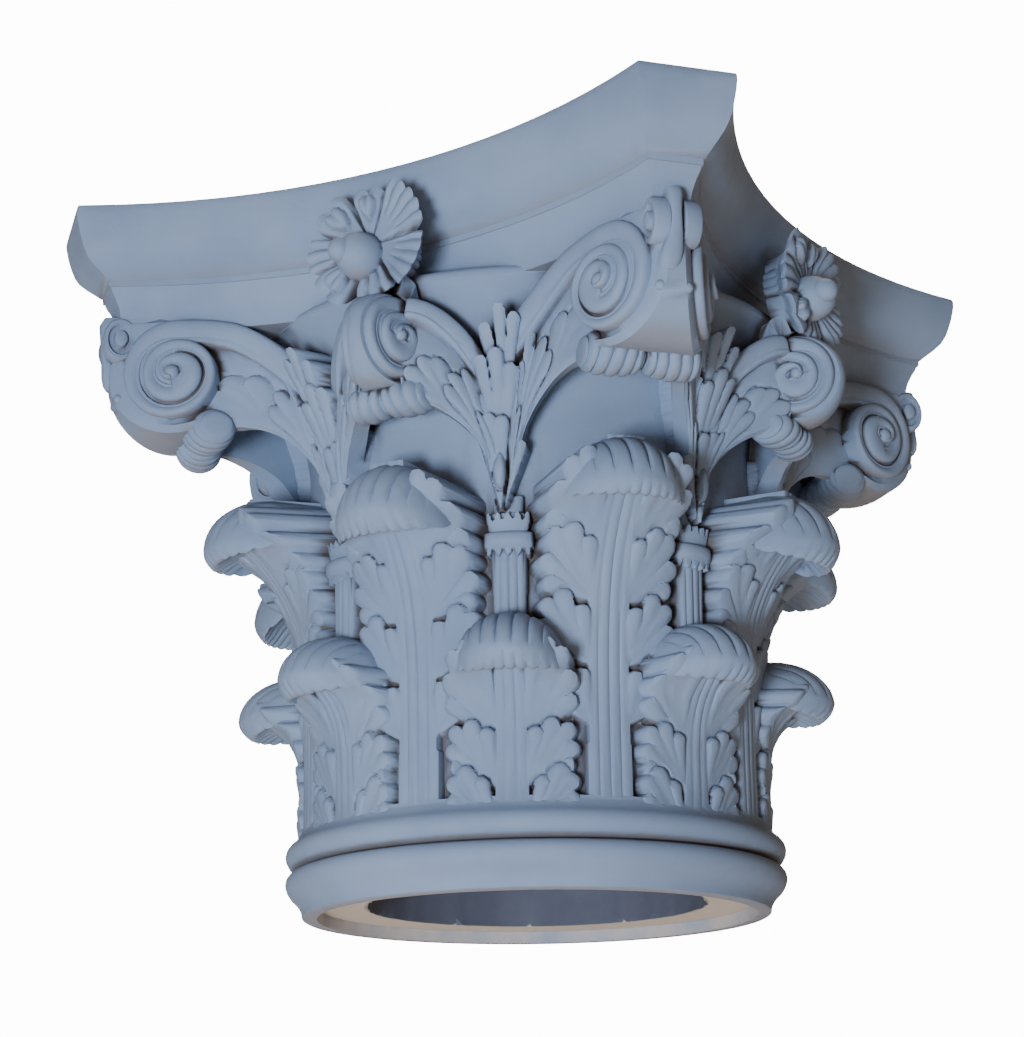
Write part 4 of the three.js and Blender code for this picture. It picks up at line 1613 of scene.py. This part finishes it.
@dataclass(frozen=True)
class Lamp:
    """A soft square lamp that faces the capital."""

    name: str
    place: tuple[float, float, float]
    power: float
    size: float
    colour: tuple[float, float, float]

    def hang(self, aim: Vector) -> None:
        """Hangs the lamp and turns it to a point."""
        data = bpy.data.lights.new(self.name, "AREA")
        data.energy, data.size, data.color = self.power, self.size, self.colour
        lamp = bpy.data.objects.new(self.name, data)
        bpy.context.scene.collection.objects.link(lamp)
        place = Vector(self.place)
        lamp.location = place
        lamp.rotation_euler = (aim - place).to_track_quat("-Z", "Y").to_euler()


@dataclass(frozen=True)
class Studio:
    """The floor, the lights and the camera."""

    floor_z: float = -1.0
    floor_size: float = 14.0
    floor_colour: tuple = rgba(230, 222, 212)
    sky: tuple = (1.0, 0.76, 0.57, 1.0)
    sky_strength: float = 0.2
    backdrop: tuple = (1.0, 1.0, 1.0, 1.0)
    backdrop_strength: float = 14.0
    lamps: tuple[Lamp, ...] = (
        Lamp("key", (0.46, -2.42, -0.62), 63, 0.5, (0.8, 0.94, 1.14)),
        Lamp("side", (-2.2, -0.6, 1.4), 3, 1.0, (1.0, 0.9, 0.8)),
        Lamp("back", (-1.0, 2.3, 1.2), 50, 1.2, (1.0, 0.97, 0.93)),
        Lamp("top", (-0.3, 0.9, 2.7), 50, 1.6, (1.0, 0.98, 0.95)),
    )
    aim: Vector = field(default_factory=lambda: Vector((0.0, 0.0, 0.24)))
    camera_place: Vector = field(default_factory=lambda: Vector((0.70624, -1.35873, -0.18387)))
    yaw: float = 27.9388
    pitch: float = 16.6713
    roll: float = -0.7781
    lens: float = 80.3
    sensor: float = 36.0

    def camera(self) -> bpy.types.Object:
        """The camera, where the photograph was taken from."""
        yaw, pitch, roll = (math.radians(angle) for angle in (self.yaw, self.pitch, self.roll))
        ahead = Vector((-math.sin(yaw) * math.cos(pitch), math.cos(yaw) * math.cos(pitch), math.sin(pitch)))
        level = Vector((math.cos(yaw), math.sin(yaw), 0))
        upright = level.cross(ahead)
        right = level * math.cos(roll) + upright * math.sin(roll)
        up = upright * math.cos(roll) - level * math.sin(roll)
        data = bpy.data.cameras.new("camera")
        data.lens, data.sensor_width = self.lens, self.sensor
        camera = bpy.data.objects.new("camera", data)
        bpy.context.scene.collection.objects.link(camera)
        facing = Matrix((right, up, -ahead)).transposed().to_4x4()
        camera.matrix_world = Matrix.Translation(self.camera_place) @ facing
        bpy.context.scene.camera = camera
        return camera

    def floor(self) -> None:
        """The plain pale floor, below the camera."""
        bm = bmesh.new()
        bmesh.ops.create_grid(bm, x_segments=1, y_segments=1, size=self.floor_size / 2)
        bmesh.ops.translate(bm, verts=bm.verts[:], vec=(0, 0, self.floor_z))
        floor = Mould.shell("floor", bm)
        recipe = Recipe("floor_paint")
        darker = tuple(0.96 * part for part in self.floor_colour)
        tone = recipe.blend(recipe.noise(3, 2), self.floor_colour, darker)
        recipe.links.new(tone, recipe.shader.inputs["Base Color"])
        recipe.shader.inputs["Roughness"].default_value = 0.9
        floor.data.materials.append(recipe.material)

    def build(self) -> None:
        """The whole studio."""
        world = bpy.context.scene.world or bpy.data.worlds.new("studio")
        bpy.context.scene.world = world
        world.use_nodes = True
        nodes, links = world.node_tree.nodes, world.node_tree.links
        fill = nodes["Background"]
        backdrop = nodes.new("ShaderNodeBackground")
        for node, colour, strength in (
            (fill, self.sky, self.sky_strength), (backdrop, self.backdrop, self.backdrop_strength),
        ):
            node.inputs["Color"].default_value = colour
            node.inputs["Strength"].default_value = strength
        blend = nodes.new("ShaderNodeMixShader")
        links.new(nodes.new("ShaderNodeLightPath").outputs["Is Camera Ray"], blend.inputs["Fac"])
        links.new(fill.outputs["Background"], blend.inputs[1])
        links.new(backdrop.outputs["Background"], blend.inputs[2])
        links.new(blend.outputs["Shader"], nodes["World Output"].inputs["Surface"])
        self.floor()
        for lamp in self.lamps:
            lamp.hang(self.aim)
        self.camera()


def dressed(casting: bpy.types.Object, finish: PaintedPlaster) -> None:
    """Gives a casting its finish and its place in the frame."""
    Shelter().mark(casting)
    casting.data.materials.clear()
    casting.data.materials.append(finish.build())
    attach(casting, "root")
    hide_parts("capital")


def main() -> None:
    """Builds the capital and the studio round it."""
    logging.basicConfig(level=logging.INFO, format="%(message)s")
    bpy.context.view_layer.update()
    Studio().build()
    casting = Capital().build()
    dressed(casting, PaintedPlaster())
    log.info("%s: %d triangles", casting.name, sum(len(face.vertices) - 2 for face in casting.data.polygons))


if __name__ == "__main__":
    main()
